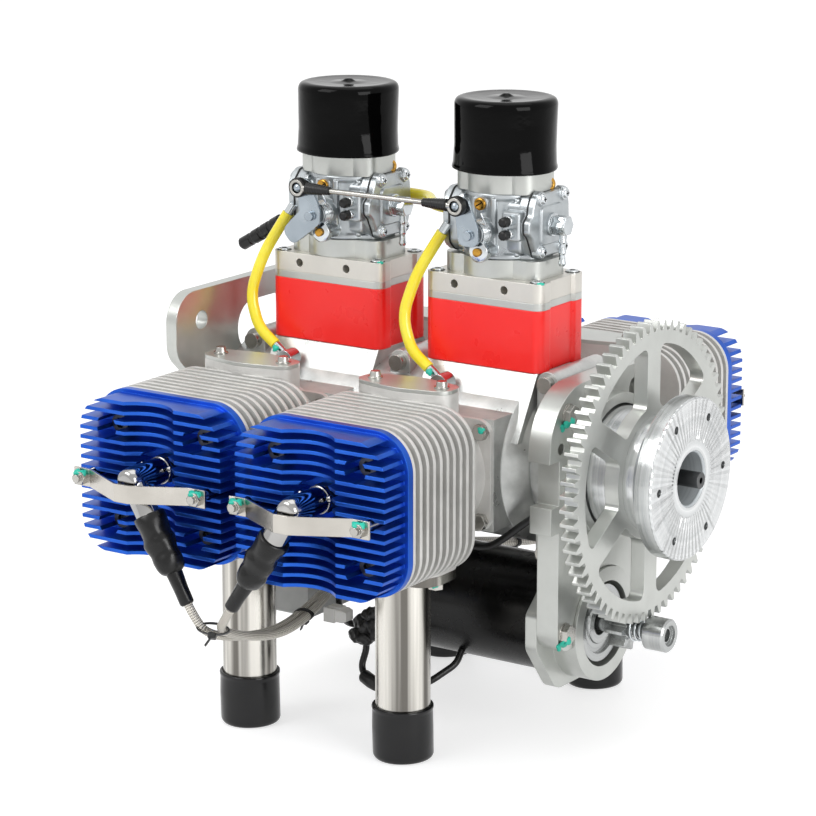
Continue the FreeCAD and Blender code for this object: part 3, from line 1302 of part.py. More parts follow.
def hoses():
    """Pulse hoses from the case to each pump cover, and the fuel hose between both carburettors."""
    tubes = []
    fittings = []
    for end, stack_x in STACKS.items():
        x = float(stack_x)
        route = [(x + dx, y, z) for dx, y, z in PULSE_ROUTE]
        tubes.append(tube(f"pulse_hose_{end}", route, s.hose_r))
        first, second = V(*route[-1]), V(*route[-2])
        inward = (first - second).normalize()
        turn = FreeCAD.Rotation(V(0, 0, 1), inward)
        banjo_at = first + inward * 13
        banjo = cylinder(f"pulse_banjo_{end}", 6, 10.8, (banjo_at.x, banjo_at.y - 6, banjo_at.z), "Y")
        barb = place(cylinder(f"pulse_barb_{end}", s.barb_r, 13), first, turn)
        fittings.append(fuse(f"pulse_fitting_{end}", [banjo, barb]))
        top, below = V(*route[0]), V(*route[1])
        up = (top - below).normalize()
        turn = FreeCAD.Rotation(V(0, 0, 1), up)
        fittings.append(place(cylinder(f"pulse_nipple_{end}", s.barb_r, 7), top, turn))
    rear_x, pump_x = float(REAR_STACK_X), float(FRONT_STACK_X - s.carb_width / 2 - s.pump_cover)
    start = V(rear_x + 22.5, 29.5, 147.5)
    tubes.append(tube("fuel_hose", [
        start, (rear_x + 28.5, 29.5, 147.5), (rear_x + 43, 27, 147.5), (pump_x - 19, 9.5, 146.5),
        (pump_x - 8, 5, 146.5), (pump_x, 5, 146.5),
    ], s.hose_r))
    stem = cylinder("fuel_stem", 4, 9.5, (start.x - 9, start.y - 7.1, start.z), "Y")
    tip = cylinder("fuel_tip", s.barb_r, 9, (start.x - 9, start.y, start.z), "X")
    fittings.append(fuse("fuel_fitting", [stem, tip]))
    node("hoses", group("hoses", tubes))
    node("hose_fittings", group("hose_fittings", fittings))

    plug = revolve("inlet_plug", [(0, 0), (0, 3.5), (13, 3.5), (13, 5), (20, 5), (20, 4.2),
                                  (23, 4.2), (23, 4.8),
                                  (29, 4.8), (29, 4.0), (32, 4.0), (32, 4.5), (38, 4.5), (38, 3.8), (41, 3.8),
                                  (41, 4.2), (49, 4.2), (51, 2.2), (51, 0)])
    pump_face = REAR_STACK_X - s.carb_width / 2 - s.pump_cover
    away = FreeCAD.Rotation(V(1, 0, 0), V(-0.87, 0, -0.5))
    node("inlet_plug", place(plug, (pump_face - 1.9, 0, 132.0), away))


PULSE_ROUTE = (
    (-30.5, -24, 137), (-44.5, -32, 110.5), (-50.5, -38, 84.5), (-42.5, -40, 64.5), (-29.5, -40, 55),
)

rear_plate()
ignition()
leads()
wiring()
hoses()

doc.recompute()
bad = [o.Label for o in doc.Objects if {"Invalid", "Error"} & set(o.State)]
bad += [n for n, o in nodes.items() if o.Shape.isNull() or not o.Shape.isValid()]
if bad:
    raise SystemExit(f"failed objects: {bad}")
os.makedirs("parts", exist_ok=True)
for name, obj in nodes.items():
    obj.Shape.exportStep(f"parts/{name}.step")
    print(name, len(obj.Shape.Solids), round(obj.Shape.Volume))
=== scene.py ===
"""Looks of an air-cooled flat-four two-stroke aircraft engine.

Metres. X runs forward along the crankshaft, Z is up, and the origin is the centre of the propeller
flange's front face. New pieces are surfaces worked out as whole numpy arrays in millimetres, and
become metres when they are put into a mesh.
"""

import json
import math

import bmesh
import bpy
import numpy as np
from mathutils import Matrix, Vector


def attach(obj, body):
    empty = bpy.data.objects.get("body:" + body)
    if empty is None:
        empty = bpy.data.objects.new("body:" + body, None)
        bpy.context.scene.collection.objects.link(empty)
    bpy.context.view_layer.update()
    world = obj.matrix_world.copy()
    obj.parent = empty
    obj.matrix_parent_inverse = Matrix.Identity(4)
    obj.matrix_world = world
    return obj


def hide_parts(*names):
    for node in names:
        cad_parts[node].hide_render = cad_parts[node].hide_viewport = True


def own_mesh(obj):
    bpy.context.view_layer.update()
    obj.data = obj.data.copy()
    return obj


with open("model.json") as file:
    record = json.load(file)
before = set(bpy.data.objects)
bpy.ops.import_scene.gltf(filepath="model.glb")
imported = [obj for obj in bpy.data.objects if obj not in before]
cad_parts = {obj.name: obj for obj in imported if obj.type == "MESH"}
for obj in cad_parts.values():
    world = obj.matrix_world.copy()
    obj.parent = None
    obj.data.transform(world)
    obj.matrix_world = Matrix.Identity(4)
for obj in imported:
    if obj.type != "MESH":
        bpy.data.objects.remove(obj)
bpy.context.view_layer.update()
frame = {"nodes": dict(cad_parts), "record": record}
nodes = frame["nodes"]
TAU = 2 * math.pi
FORWARD, BACKWARD, ACROSS, NEAR, UP = (1, 0, 0), (-1, 0, 0), (0, 1, 0), (0, -1, 0), (0, 0, 1)

# ---------------------------------------------------------------------------------------------
# Places, in millimetres
# ---------------------------------------------------------------------------------------------
STACK_X = {"front": -133.5, "rear": -250.5}
BANK_SIDE = {"near": -1, "far": 1}
BANK_OFFSET = 13
CYLINDER = {
    f"{bank}_{end}": (x + side * BANK_OFFSET, side)
    for bank, side in BANK_SIDE.items() for end, x in STACK_X.items()
}
ELBOW_Y, PLUG_Z = 206, 6
LEAD_R, LEAD_APART, LEAD_TIE_X, MODULE_FACE, MODULE_ENTRY_Z = 2.7, 7, -192, -261.5, -86
STRAP_REACH = 43.5
CAP_TOP_Z, STUB_Y, STUB_END_Z = 221, 93, -178
LINK_BALL = (-6, -46, 159)
LEAN = {"front": -0.67, "rear": 0.57}
CARB_LOW, CARB_MIDDLE = 124, 144
COVER_MIDDLE = 145
THROTTLE_Z = 141
PLATE_TOP = 112.5
STARTER_Z = -101.38
PLATE_BOLTS = ((-45, 41), (45, 28), (-46, -96), (46, -96))
# Torque paint on the port covers, the barrel bases and the carburettor plates: a point and a way out.
SMALL_DABS = [(x + 41, side * 70.1, 30, (0.2, side, 0.6)) for x, side in CYLINDER.values()]
SMALL_DABS += [(x + 26, side * 97.4, -62.4, (0.3, side, 0.2)) for x, side in CYLINDER.values()]
SMALL_DABS += [(x + 39.5, -22.5, 112.4, (0, 0, 1)) for x in STACK_X.values()]


# ---------------------------------------------------------------------------------------------
# Surfaces
# ---------------------------------------------------------------------------------------------
def unit(v):
    """v / |v|, along the last axis."""
    v = np.asarray(v, float)
    return v / np.linalg.norm(v, axis=-1, keepdims=True)


def softened(points, reach, steps=5):
    """Rounds a line's inner corners: (1-t)^2 a + 2t(1-t) corner + t^2 b, with a and b on its two sides."""
    points = np.asarray(points, float)
    corner, back, ahead = points[1:-1], points[:-2] - points[1:-1], points[2:] - points[1:-1]
    limit = np.minimum(np.linalg.norm(back, axis=1), np.linalg.norm(ahead, axis=1)) / 2
    reach = np.minimum(reach, limit)[:, None]
    a, b = corner + unit(back) * reach, corner + unit(ahead) * reach
    t = np.linspace(0, 1, steps)[:, None, None]
    bend = (1 - t) ** 2 * a + 2 * t * (1 - t) * corner + t ** 2 * b
    return np.concatenate([points[:1], bend.transpose(1, 0, 2).reshape(-1, points.shape[1]), points[-1:]])


def rounded(points, reach):
    """The same bends, all the way round a closed outline."""
    points = np.asarray(points, float)
    return softened(np.concatenate([points[-1:], points, points[:1]]), reach)[1:-1]


def axes(along, toward=None):
    """A right-handed set: w = along, u = toward made square to w, v = w x u."""
    w = unit(along)
    toward = np.eye(3)[np.abs(w).argmin()] if toward is None else np.asarray(toward, float)
    u = unit(toward - w * np.dot(w, toward))
    return u, np.cross(w, u), w


def turned(profile, at, along, around=40, shape=None):
    """Spins (distance, radius) pairs: at + w d + r (u cos a + v sin a), where r may be shape(d, r, a)."""
    distance, radius = np.asarray(profile, float).T[:, :, None]
    a = np.linspace(0, TAU, around, endpoint=False)[None]
    r = (shape(distance, radius, a) if shape else radius + 0 * a)[..., None]
    u, v, w = axes(along)
    spoke = np.cos(a)[..., None] * u + np.sin(a)[..., None] * v
    return np.asarray(at, float) + distance[..., None] * w + r * spoke


def slab(outline, levels, at, along, toward=None):
    """Stacks an outline: at + w h + u x + v y, each (h, inset) level drawn in along its normals."""
    outline = np.asarray(outline, float)
    edge = np.roll(outline, -1, 0) - np.roll(outline, 1, 0)
    normal = unit(np.stack([edge[:, 1], -edge[:, 0]], 1))
    height, inset = np.asarray(levels, float).T[:, :, None, None]
    flat = outline - normal * inset
    u, v, w = axes(along, toward)
    rings = np.asarray(at, float) + height * w + flat[..., :1] * u + flat[..., 1:] * v
    return closed(rings)


def closed(rings):
    """Adds a row of equal points at the middle of the first and last ring, which shuts both ends."""
    ends = [np.broadcast_to(ring.mean(0), ring.shape)[None] for ring in (rings[0], rings[-1])]
    return np.concatenate([ends[0], rings, ends[1]])


def spun(profile, reach, at, along, around=28, shape=None):
    """A turned solid whose profile has its inner corners rounded by reach and both ends shut."""
    return closed(turned(softened(profile, reach), at, along, around, shape))


def swept(path, section, up=UP):
    """Carries a section along a path: p + n x + b y, where n = t x up and b = n x t."""
    path, section = np.asarray(path, float), np.asarray(section, float)
    t = unit(np.gradient(path, axis=0))
    n = unit(np.cross(t, up))
    b = np.cross(n, t)
    rings = path[:, None] + section[None, :, :1] * n[:, None] + section[None, :, 1:] * b[:, None]
    return closed(rings)


def ring_of(radius, count=24, wide=1.0):
    """A circle or ellipse: (r wide cos a, r sin a)."""
    a = np.linspace(0, TAU, count, endpoint=False)
    return np.stack([radius * wide * np.cos(a), radius * np.sin(a)], 1)


def hexagon(radius):
    """Six corners joined by straight sides of four steps, so that a bevel keeps them flat."""
    corners = ring_of(radius, 6)
    t = np.linspace(0, 1, 4, endpoint=False)[None, :, None]
    return (corners[:, None] * (1 - t) + np.roll(corners, -1, 0)[:, None] * t).reshape(-1, 2)


def round_box(half_x, half_y, corner, steps=5):
    """Quarter circles moved out to four corners: sign (half - corner) + corner (cos a, sin a)."""
    a = np.linspace(0, TAU / 4, steps)[None] + np.arange(4)[:, None] * TAU / 4
    sign = np.array([[1, 1], [-1, 1], [-1, -1], [1, -1]])[:, None]
    middle = sign * np.array([half_x - corner, half_y - corner])
    return (middle + corner * np.stack([np.cos(a), np.sin(a)], -1)).reshape(-1, 2)


def spline(points, each=10):
    """The line of a NURBS curve of order 3 with these control points, read from the curve."""
    data = bpy.data.curves.new("route", "CURVE")
    data.dimensions = "3D"
    line = data.splines.new("NURBS")
    line.points.add(len(points) - 1)
    line.points.foreach_set("co", np.c_[np.asarray(points, float), np.ones(len(points))].ravel())
    line.order_u = 3
    line.use_endpoint_u = True
    line.resolution_u = each
    holder = bpy.data.objects.new("route", data)
    mesh = bpy.data.meshes.new_from_object(holder)
    found = np.empty(len(mesh.vertices) * 3)
    mesh.vertices.foreach_get("co", found)
    bpy.data.objects.remove(holder)
    bpy.data.meshes.remove(mesh)
    bpy.data.curves.remove(data)
    return found.reshape(-1, 3)


def coil(radius, pitch, turns, at, along, per_turn=20):
    """A helix: at + w pitch a / 2pi + r (u cos a + v sin a)."""
    a = np.linspace(0, TAU * turns, int(per_turn * turns))[:, None]
    u, v, w = axes(along)
    return np.asarray(at, float) + w * pitch * a / TAU + radius * (u * np.cos(a) + v * np.sin(a))


def piece(name, finish, surfaces, body="engine", instead=(), sharp=38):
    """Joins surfaces, each a grid closed round its second direction, into one piece with a wrap map."""
    points, faces, wrap, start = [], [], [], 0
    for grid in surfaces:
        n, m = grid.shape[:2]
        i, j = np.arange(n - 1)[:, None] * m, np.arange(m)[None]
        k = (j + 1) % m
        faces.append(start + np.stack([i + j, i + k, i + m + k, i + m + j], -1).reshape(-1, 4))
        run = np.r_[0, np.cumsum(np.linalg.norm(np.diff(grid.mean(1), axis=0), axis=1))] * 0.001
        v0, v1 = np.broadcast_to(run[:-1, None], (n - 1, m)), np.broadcast_to(run[1:, None], (n - 1, m))
        u0, u1 = np.broadcast_to(j / m, (n - 1, m)), np.broadcast_to((j + 1) / m, (n - 1, m))
        wrap.append(np.stack([u0, v0, u1, v0, u1, v1, u0, v1], -1).reshape(-1, 8))
        points.append(grid.reshape(-1, 3) * 0.001)
        start += n * m
    mesh = bpy.data.meshes.new(name)
    mesh.from_pydata(np.concatenate(points).tolist(), [], np.concatenate(faces).tolist())
    mesh.uv_layers.new(name="wrap").data.foreach_set("uv", np.concatenate(wrap).ravel())
    work = bmesh.new()
    work.from_mesh(mesh)
    bmesh.ops.remove_doubles(work, verts=work.verts, dist=1e-6)
    bmesh.ops.recalc_face_normals(work, faces=work.faces)
    work.to_mesh(mesh)
    work.free()
    mesh.shade_smooth()
    mesh.set_sharp_from_angle(angle=math.radians(sharp))
    mesh.materials.append(finish)
    made = bpy.data.objects.new(name, mesh)
    bpy.context.scene.collection.objects.link(made)
    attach(made, body)
    if instead:
        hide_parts(*instead)
    return made


# ---------------------------------------------------------------------------------------------
# Materials
# ---------------------------------------------------------------------------------------------
def linear(code):
    """sRGB hex to linear red, green, blue and alpha."""
    value = np.array([int(code[i:i + 2], 16) for i in (1, 3, 5)]) / 255
    flat = np.where(value <= 0.04045, value / 12.92, ((value + 0.055) / 1.055) ** 2.4)
    return (*flat.tolist(), 1.0)


def add(tree, kind, links=None, **settings):
    """Adds a node: links name (socket, output) pairs; settings are properties or socket values."""
    item = tree.nodes.new(kind)
    for key, value in settings.items():
        if hasattr(item, key):
            setattr(item, key, value)
        else:
            item.inputs[int(key[1:]) if key[0] == "_" else key.replace("_", " ")].default_value = value
    for socket, source in (links or {}).items():
        tree.links.new(source, item.inputs[socket])
    return item


def paint(name, color, metallic, roughness, **more):
    """A principled material with its tree, its shader and its Object coordinates."""
    mat = bpy.data.materials.new(name)
    mat.use_nodes = True
    tree = mat.node_tree
    shader = tree.nodes["Principled BSDF"]
    base = {"Base Color": linear(color), "Metallic": metallic, "Roughness": roughness}
    for key, value in {**base, **more}.items():
        shader.inputs[key.replace("_", " ")].default_value = value
    return mat, tree, shader, add(tree, "ShaderNodeTexCoord").outputs["Object"]


def dress(tree, shader, height, depth, strength, edge, tone_and_painted_light, colors, rough, stops=(0.3, 0.7)):
    """Height to bump and softened edges, and a tone to colour and roughness: a slow mottle for most
    finishes, painted reflection bands on the drawn tube and painted shade in the braid.
    """
    ramp = add(tree, "ShaderNodeValToRGB", {"Fac": tone_and_painted_light})
    for stop, at, code in zip(ramp.color_ramp.elements, stops, colors):
        stop.position = at
        stop.color = linear(code)
    tree.links.new(ramp.outputs[0], shader.inputs["Base Color"])
    spread = add(tree, "ShaderNodeMapRange", {"Value": tone_and_painted_light}, From_Min=0.3, From_Max=0.7, To_Min=rough[0],
                 To_Max=rough[1])
    tree.links.new(spread.outputs[0], shader.inputs["Roughness"])
    bump = add(tree, "ShaderNodeBump", {"Height": height}, Strength=strength, Distance=depth)
    soft = add(tree, "ShaderNodeBevel", {"Normal": bump.outputs[0]}, samples=6, Radius=edge)
    tree.links.new(soft.outputs[0], shader.inputs["Normal"])
    return bump


def casting(name, colors, grit_mm, strength, metallic=0.9, rough=(0.35, 0.5), edge=0.0008):
    """Die or sand cast metal, bead blasted: grit in the height, a slow cloudiness in tone and gloss."""
    mat, tree, shader, where = paint(name, colors[1], metallic, rough[0])
    grit = add(tree, "ShaderNodeTexNoise", {"Vector": where}, Scale=1000 / grit_mm, Detail=3, Roughness=0.65)
    cloud = add(tree, "ShaderNodeTexNoise", {"Vector": where}, Scale=1000 / 16, Detail=4, Roughness=0.6)
    dress(tree, shader, grit.outputs["Fac"], 0.0004, strength, edge, cloud.outputs["Fac"], colors, rough)
    return mat


def milled(name, colors, rough, stretch=(1, 1, 1), line_mm=0.45, strength=0.1, metallic=1.0, edge=0.0006,
           bands=(1, 1, 1), band_mm=22, stops=(0.3, 0.7)):
    """Milled, ground or drawn metal: tool lines from a stretched noise, and a cloudy tone, which bands
    stretches into long stripes of painted reflection.
    """
    mat, tree, shader, where = paint(name, colors[1], metallic, rough[0])
    lined = add(tree, "ShaderNodeMapping", {"Vector": where}, Scale=stretch)
    lines = add(tree, "ShaderNodeTexNoise", {"Vector": lined.outputs[0]}, Scale=1000 / line_mm, Detail=2)
    banded = add(tree, "ShaderNodeMapping", {"Vector": where}, Scale=bands)
    cloud = add(tree, "ShaderNodeTexNoise", {"Vector": banded.outputs[0]}, Scale=1000 / band_mm, Detail=3)
    dress(
        tree, shader, lines.outputs["Fac"], 0.0003, strength, edge, cloud.outputs["Fac"], colors, rough,
        stops,
    )
    return mat


def lathed(name, colors, rough, centre_z=0.0, line_mm=0.35, strength=0.2, edge=0.0005, grooves=0,
           metallic=0.9):
    """Turned about X: fine rings from a noise that only reads the distance from the axis and along it.

    With grooves, the forward face between two radii has that many radial V cuts.
    """
    mat, tree, shader, where = paint(name, colors[1], metallic, rough[0])
    part = add(tree, "ShaderNodeSeparateXYZ", {0: where})
    lift = add(tree, "ShaderNodeMath", {0: part.outputs[2]}, operation="SUBTRACT", _1=centre_z)
    flat = add(tree, "ShaderNodeCombineXYZ", {1: part.outputs[1], 2: lift.outputs[0]})
    radius = add(tree, "ShaderNodeVectorMath", {0: flat.outputs[0]}, operation="LENGTH").outputs["Value"]
    rings = add(tree, "ShaderNodeCombineXYZ", {0: radius, 1: part.outputs[0]})
    lines = add(tree, "ShaderNodeTexNoise", {"Vector": rings.outputs[0]}, Scale=1000 / line_mm, Detail=3)
    tone = add(tree, "ShaderNodeTexNoise", {"Vector": rings.outputs[0]}, Scale=1000 / 3.5, Detail=5,
               Roughness=0.7)
    bump = dress(tree, shader, lines.outputs["Fac"], 0.00025, strength, edge, tone.outputs["Fac"], colors,
                 rough)
    if grooves:
        angle = add(tree, "ShaderNodeMath", {0: part.outputs[1], 1: part.outputs[2]}, operation="ARCTAN2")
        count = add(tree, "ShaderNodeMath", {0: angle.outputs[0]}, operation="MULTIPLY",
                    _1=grooves / TAU)
        index = add(tree, "ShaderNodeMath", {0: count.outputs[0]}, operation="FLOOR")
        chance = add(tree, "ShaderNodeTexWhiteNoise", {"W": index.outputs[0]}, noise_dimensions="1D")
        cut = add(tree, "ShaderNodeMath", {0: count.outputs[0]}, operation="PINGPONG", _1=0.5)
        inner = add(tree, "ShaderNodeMapRange", {"Value": radius}, From_Min=0.0225, From_Max=0.0245,
                    To_Max=2.0)
        front = add(tree, "ShaderNodeMapRange", {"Value": part.outputs[0]}, From_Min=-0.0012,
                    From_Max=-0.0006)
        deep = add(tree, "ShaderNodeMath", {0: chance.outputs["Value"]}, operation="MULTIPLY_ADD",
                   _1=0.8, _2=0.6)
        for factor in (deep, inner, front):
            cut = add(tree, "ShaderNodeMath", {0: cut.outputs[0], 1: factor.outputs[0]},
                      operation="MULTIPLY")
        vees = add(tree, "ShaderNodeBump", {"Height": cut.outputs[0], "Normal": bump.outputs[0]},
                   Strength=1.0, Distance=0.0007)
        soft = add(tree, "ShaderNodeBevel", {"Normal": vees.outputs[0]}, samples=6, Radius=edge)
        tree.links.new(soft.outputs[0], shader.inputs["Normal"])
    return mat


def moulded(name, colors, rough, grit_mm=0.8, strength=0.08, edge=0.0008, metallic=0.0, **more):
    """Plastic, vinyl, rubber or enamel: a skin texture, and a slow change of gloss over the surface."""
    mat, tree, shader, where = paint(name, colors[1], metallic, rough[0], **more)
    skin = add(tree, "ShaderNodeTexNoise", {"Vector": where}, Scale=1000 / grit_mm, Detail=3)
    cloud = add(tree, "ShaderNodeTexNoise", {"Vector": where}, Scale=1000 / 14, Detail=3, Roughness=0.55)
    dress(tree, shader, skin.outputs["Fac"], 0.0004, strength, edge, cloud.outputs["Fac"], colors, rough)
    return mat


def braided(name, colors, strands=12, lay_mm=9.0):
    """Tinned wire braid: two sets of slanted bands from the wrap map, in the bump and in the colour, which
    is darker where the strands dip: painted shade between them.
    """
    mat, tree, shader, _ = paint(name, colors[1], 0.85, 0.35)
    wrap = add(tree, "ShaderNodeSeparateXYZ", {0: add(tree, "ShaderNodeUVMap", uv_map="wrap").outputs[0]})
    around = add(tree, "ShaderNodeMath", {0: wrap.outputs[0]}, operation="MULTIPLY", _1=strands * TAU)
    pitch = strands * TAU * 1000 / (lay_mm * 2)
    along = add(tree, "ShaderNodeMath", {0: wrap.outputs[1]}, operation="MULTIPLY", _1=pitch)
    bands = []
    for way in ("ADD", "SUBTRACT"):
        slant = add(tree, "ShaderNodeMath", {0: around.outputs[0], 1: along.outputs[0]}, operation=way)
        bands.append(add(tree, "ShaderNodeMath", {0: slant.outputs[0]}, operation="SINE").outputs[0])
    weave = add(tree, "ShaderNodeMath", {0: bands[0], 1: bands[1]}, operation="MULTIPLY")
    height = add(tree, "ShaderNodeMapRange", {"Value": weave.outputs[0]}, From_Min=-1.0)
    # The weave's height also sets the colour: painted shade, darker in the hollows between strands.
    dress(tree, shader, height.outputs[0], 0.0006, 0.9, 0.0002, height.outputs[0], colors, (0.28, 0.5))
    return mat


FINISH = {
    # Sand cast and bead blasted aluminium: pale, evenly gritty, satin. The grit is really about
    # 0.2 mm; here it is drawn at 0.9 mm so that it shows.
    "cast_aluminium": casting("blasted_cast_aluminium", ("#ADAFAD", "#D0D1CF"), 0.9, 0.25, 0.72,
                              (0.26, 0.44)),
    # The finned barrels have a coarser, duller grit.
    "barrel_aluminium": casting("blasted_barrel_aluminium", ("#CBCAC7", "#DAD9D6"), 0.8, 0.4, 0.4,
                                (0.42, 0.55), 0.0005),
    # Blue anodising over milled aluminium: a metal whose sheen is coloured, brighter on sharp edges.
    "anodised_blue": milled("blue_anodised_aluminium", ("#1C4FB2", "#2762CC"), (0.3, 0.38), (1, 1, 6), 0.6,
                            0.03, 0.85, 0.0007),
    # Milled plate: flat, satin, with cutter lines drawn at 0.6 mm so that they show.
    "machined_aluminium": milled("satin_milled_aluminium", ("#B7B9B5", "#C3C5C1"), (0.28, 0.36), (1, 6, 1),
                                 0.6, 0.03, 0.78, 0.0006),
    # Turned on a lathe: fine rings that pull the light into spokes.
    "turned_aluminium": lathed("turned_aluminium", ("#A9ACAE", "#E0E1E1"), (0.1, 0.24)),
    # Clear anodising over milled plate: a warm, milky satin.
    "champagne_aluminium": milled("pale_anodised_aluminium", ("#CBC8C1", "#D6D3CC"), (0.3, 0.4), (1, 5, 1),
                                  0.6, 0.03, 0.7),
    "piston_aluminium": lathed("piston_aluminium", ("#ADADAD", "#BFBFBF"), (0.3, 0.4)),
    # Die-cast zinc alloy: blue-grey with a fine skin, brighter than the sand castings.
    "zinc_casting": casting("die_cast_zinc_alloy", ("#A3A8AB", "#BCC1C3"), 0.9, 0.1, 0.8, (0.26, 0.38),
                            0.0007),
    "zinc_plate": milled("zinc_plated_steel", ("#8E979F", "#A9B2B9"), (0.2, 0.32), strength=0.08),
    # Plated steel, drawn or forged: small bright edges and a soft sheen.
    "fastener_steel": milled("plated_fastener_steel", ("#A19F9A", "#BAB8B3"), (0.18, 0.3), strength=0.1),
    "forged_steel": milled("ground_steel", ("#4F5051", "#626364"), (0.3, 0.4)),
    "starter_steel": lathed("turned_steel", ("#9FA1A1", "#BDBFBE"), (0.14, 0.26), STARTER_Z / 1000, 0.5),
    # Drawn stainless tube, a warm grey: faint drawing lines along its length in the bump, and long light and
    # dark bands in its colour, which are painted reflections.
    "stainless_tube": milled("drawn_stainless_painted_reflections", ("#6A6762", "#DAD7D0"), (0.14, 0.3), (1, 1, 0.06), 0.7,
                             0.1, 0.95, bands=(1, 1, 0.02), band_mm=13, stops=(0.42, 0.58)),
    # Rolled strip: lines along its length, bright and slightly warm.
    "spring_steel": milled("satin_spring_steel", ("#B2AEA7", "#C4C0B9"), (0.18, 0.28), (0.12, 1, 1), 0.35,
                           0.14),
    # Polished nickel plate: it mirrors its neighbours sharply.
    "plated_cap": milled("polished_plated_cap", ("#9E9D9C", "#B5B4B2"), (0.06, 0.12), strength=0.02),
    # Tinned braid: strands of 0.15 mm in bundles, drawn as eight broad bundles so that they show. Its darker
    # colour is painted shade in the hollows of the weave.
    "braid": braided("tinned_braid_painted_shade", ("#8B877F", "#ECE8DF"), 8, 12.0),
    # Injection moulded nylon, bright red, semi-gloss.
    "red_plastic": moulded("red_moulded_nylon", ("#FA2320", "#FC2825"), (0.26, 0.34), 1.2, 0.03, 0.0014,
                           Subsurface_Weight=0.05, Subsurface_Radius=(0.004, 0.001, 0.001)),
    # Dipped vinyl: thick, black and glossy, with a slow waviness.
    "black_vinyl": moulded("black_dipped_vinyl", ("#030303", "#050505"), (0.04, 0.1), 13.0, 0.6, IOR=1.45,
                           Specular_IOR_Level=0.1),
    # Enamel, rubber and nylon in black: glossy, waxy and dull.
    "black_paint": moulded("black_enamel", ("#060606", "#090909"), (0.22, 0.32), 1.6, 0.04, IOR=1.45,
                           Specular_IOR_Level=0.3),
    "black_rubber": moulded("black_rubber", ("#070707", "#0D0D0D"), (0.2, 0.34), 2.4, 0.25,
                            Specular_IOR_Level=0.35),
    "black_plastic": moulded("black_moulded_nylon", ("#080808", "#0E0E0E"), (0.3, 0.42), 0.9, 0.1,
                             Specular_IOR_Level=0.4),
    # Soft clear-yellow fuel hose: glossy and a little see-through.
    "yellow_pvc": moulded("yellow_pvc_hose", ("#F6E01C", "#FBEC48"), (0.08, 0.16), 6.0, 0.06,
                          Subsurface_Weight=0.25, Subsurface_Radius=(0.004, 0.004, 0.001), Coat_Weight=0.2),
    # Enamelled case: an even grey with a low sheen.
    "grey_module": moulded("grey_enamel", ("#A2A3A1", "#B0B1AF"), (0.35, 0.45), 1.2, 0.1),
}
EXTRA = {
    # The hub's serrated face: turned, then cut with radial Vs, which are only in its normals.
    "hub": lathed("serrated_turned_aluminium", ("#BEC1C2", "#E6E7E7"), (0.14, 0.28), grooves=64,
                  metallic=0.85),
    # Turned brass: warm and bright.
    "brass": milled("turned_brass", ("#A67A2E", "#C99A4A"), (0.18, 0.28), strength=0.08),
    # Torque paint: an opaque, slightly uneven green.
    "seal": moulded("green_torque_paint", ("#12AD95", "#24C4AA"), (0.3, 0.42), 1.0, 0.2),
    # Dipped vinyl on the stubs, thinner than on the inlets, and the same black vinyl painted greyer: painted
    # light for the paler look of these low caps.
    "vinyl_painted_lighter": moulded("dipped_vinyl_painted_lighter", ("#0C0C0D", "#161617"), (0.12, 0.22), 9.0, 0.4,
                          Specular_IOR_Level=0.35),
    # The sleeve pressed into the hub's bore: turned, matt, pale.
    "sleeve": lathed("matt_turned_aluminium", ("#B9BFC2", "#D9DEE0"), (0.35, 0.45), metallic=0.35),
    "gasket": moulded("dark_fibre_gasket", ("#1E1F20", "#2B2C2D"), (0.6, 0.75), 0.6, 0.3),
    "white_nylon": moulded("white_moulded_nylon", ("#E9E8E3", "#F3F2EE"), (0.35, 0.45), 1.0, 0.08),
    # Painted shade: near-black laid where screw slots and sockets would lie in shade.
    "recess_painted_shade": milled("painted_shade_for_recesses", ("#161616", "#202020"), (0.4, 0.5)),
    # Black-oxide steel of the sunk head bolts and the plugs' hexes.
    "dark_steel": milled("blackened_steel", ("#3A3B3D", "#505153"), (0.3, 0.4), strength=0.06),
    "bright_steel": milled("bright_zinc_plated_steel", ("#B9BEC1", "#D4D8DA"), (0.1, 0.2), strength=0.06),
}
for part in frame["record"]["subparts"]:
    mesh = nodes[part["node"]].data
    mesh.materials.clear()
    mesh.materials.append(FINISH[part["material_slot"]])
nodes["prop_hub"].data.materials[0] = EXTRA["hub"]
nodes["head_bolts"].data.materials[0] = EXTRA["dark_steel"]
nodes["spark_plugs"].data.materials[0] = EXTRA["dark_steel"]
nodes["hose_fittings"].data.materials[0] = EXTRA["bright_steel"]


# ---------------------------------------------------------------------------------------------
# Ignition: shielded plug caps, rubber boots, braided leads and their ties
# ---------------------------------------------------------------------------------------------
def wrinkled(d, r, a):
    """r (1 + 0.035 sin(3a + 0.19 d) + 0.025 sin(2a - 0.31 d)): the folds of a boot pulled over a tube."""
    return r * (1 + 0.035 * np.sin(3 * a + 0.19 * d) + 0.025 * np.sin(2 * a - 0.31 * d))


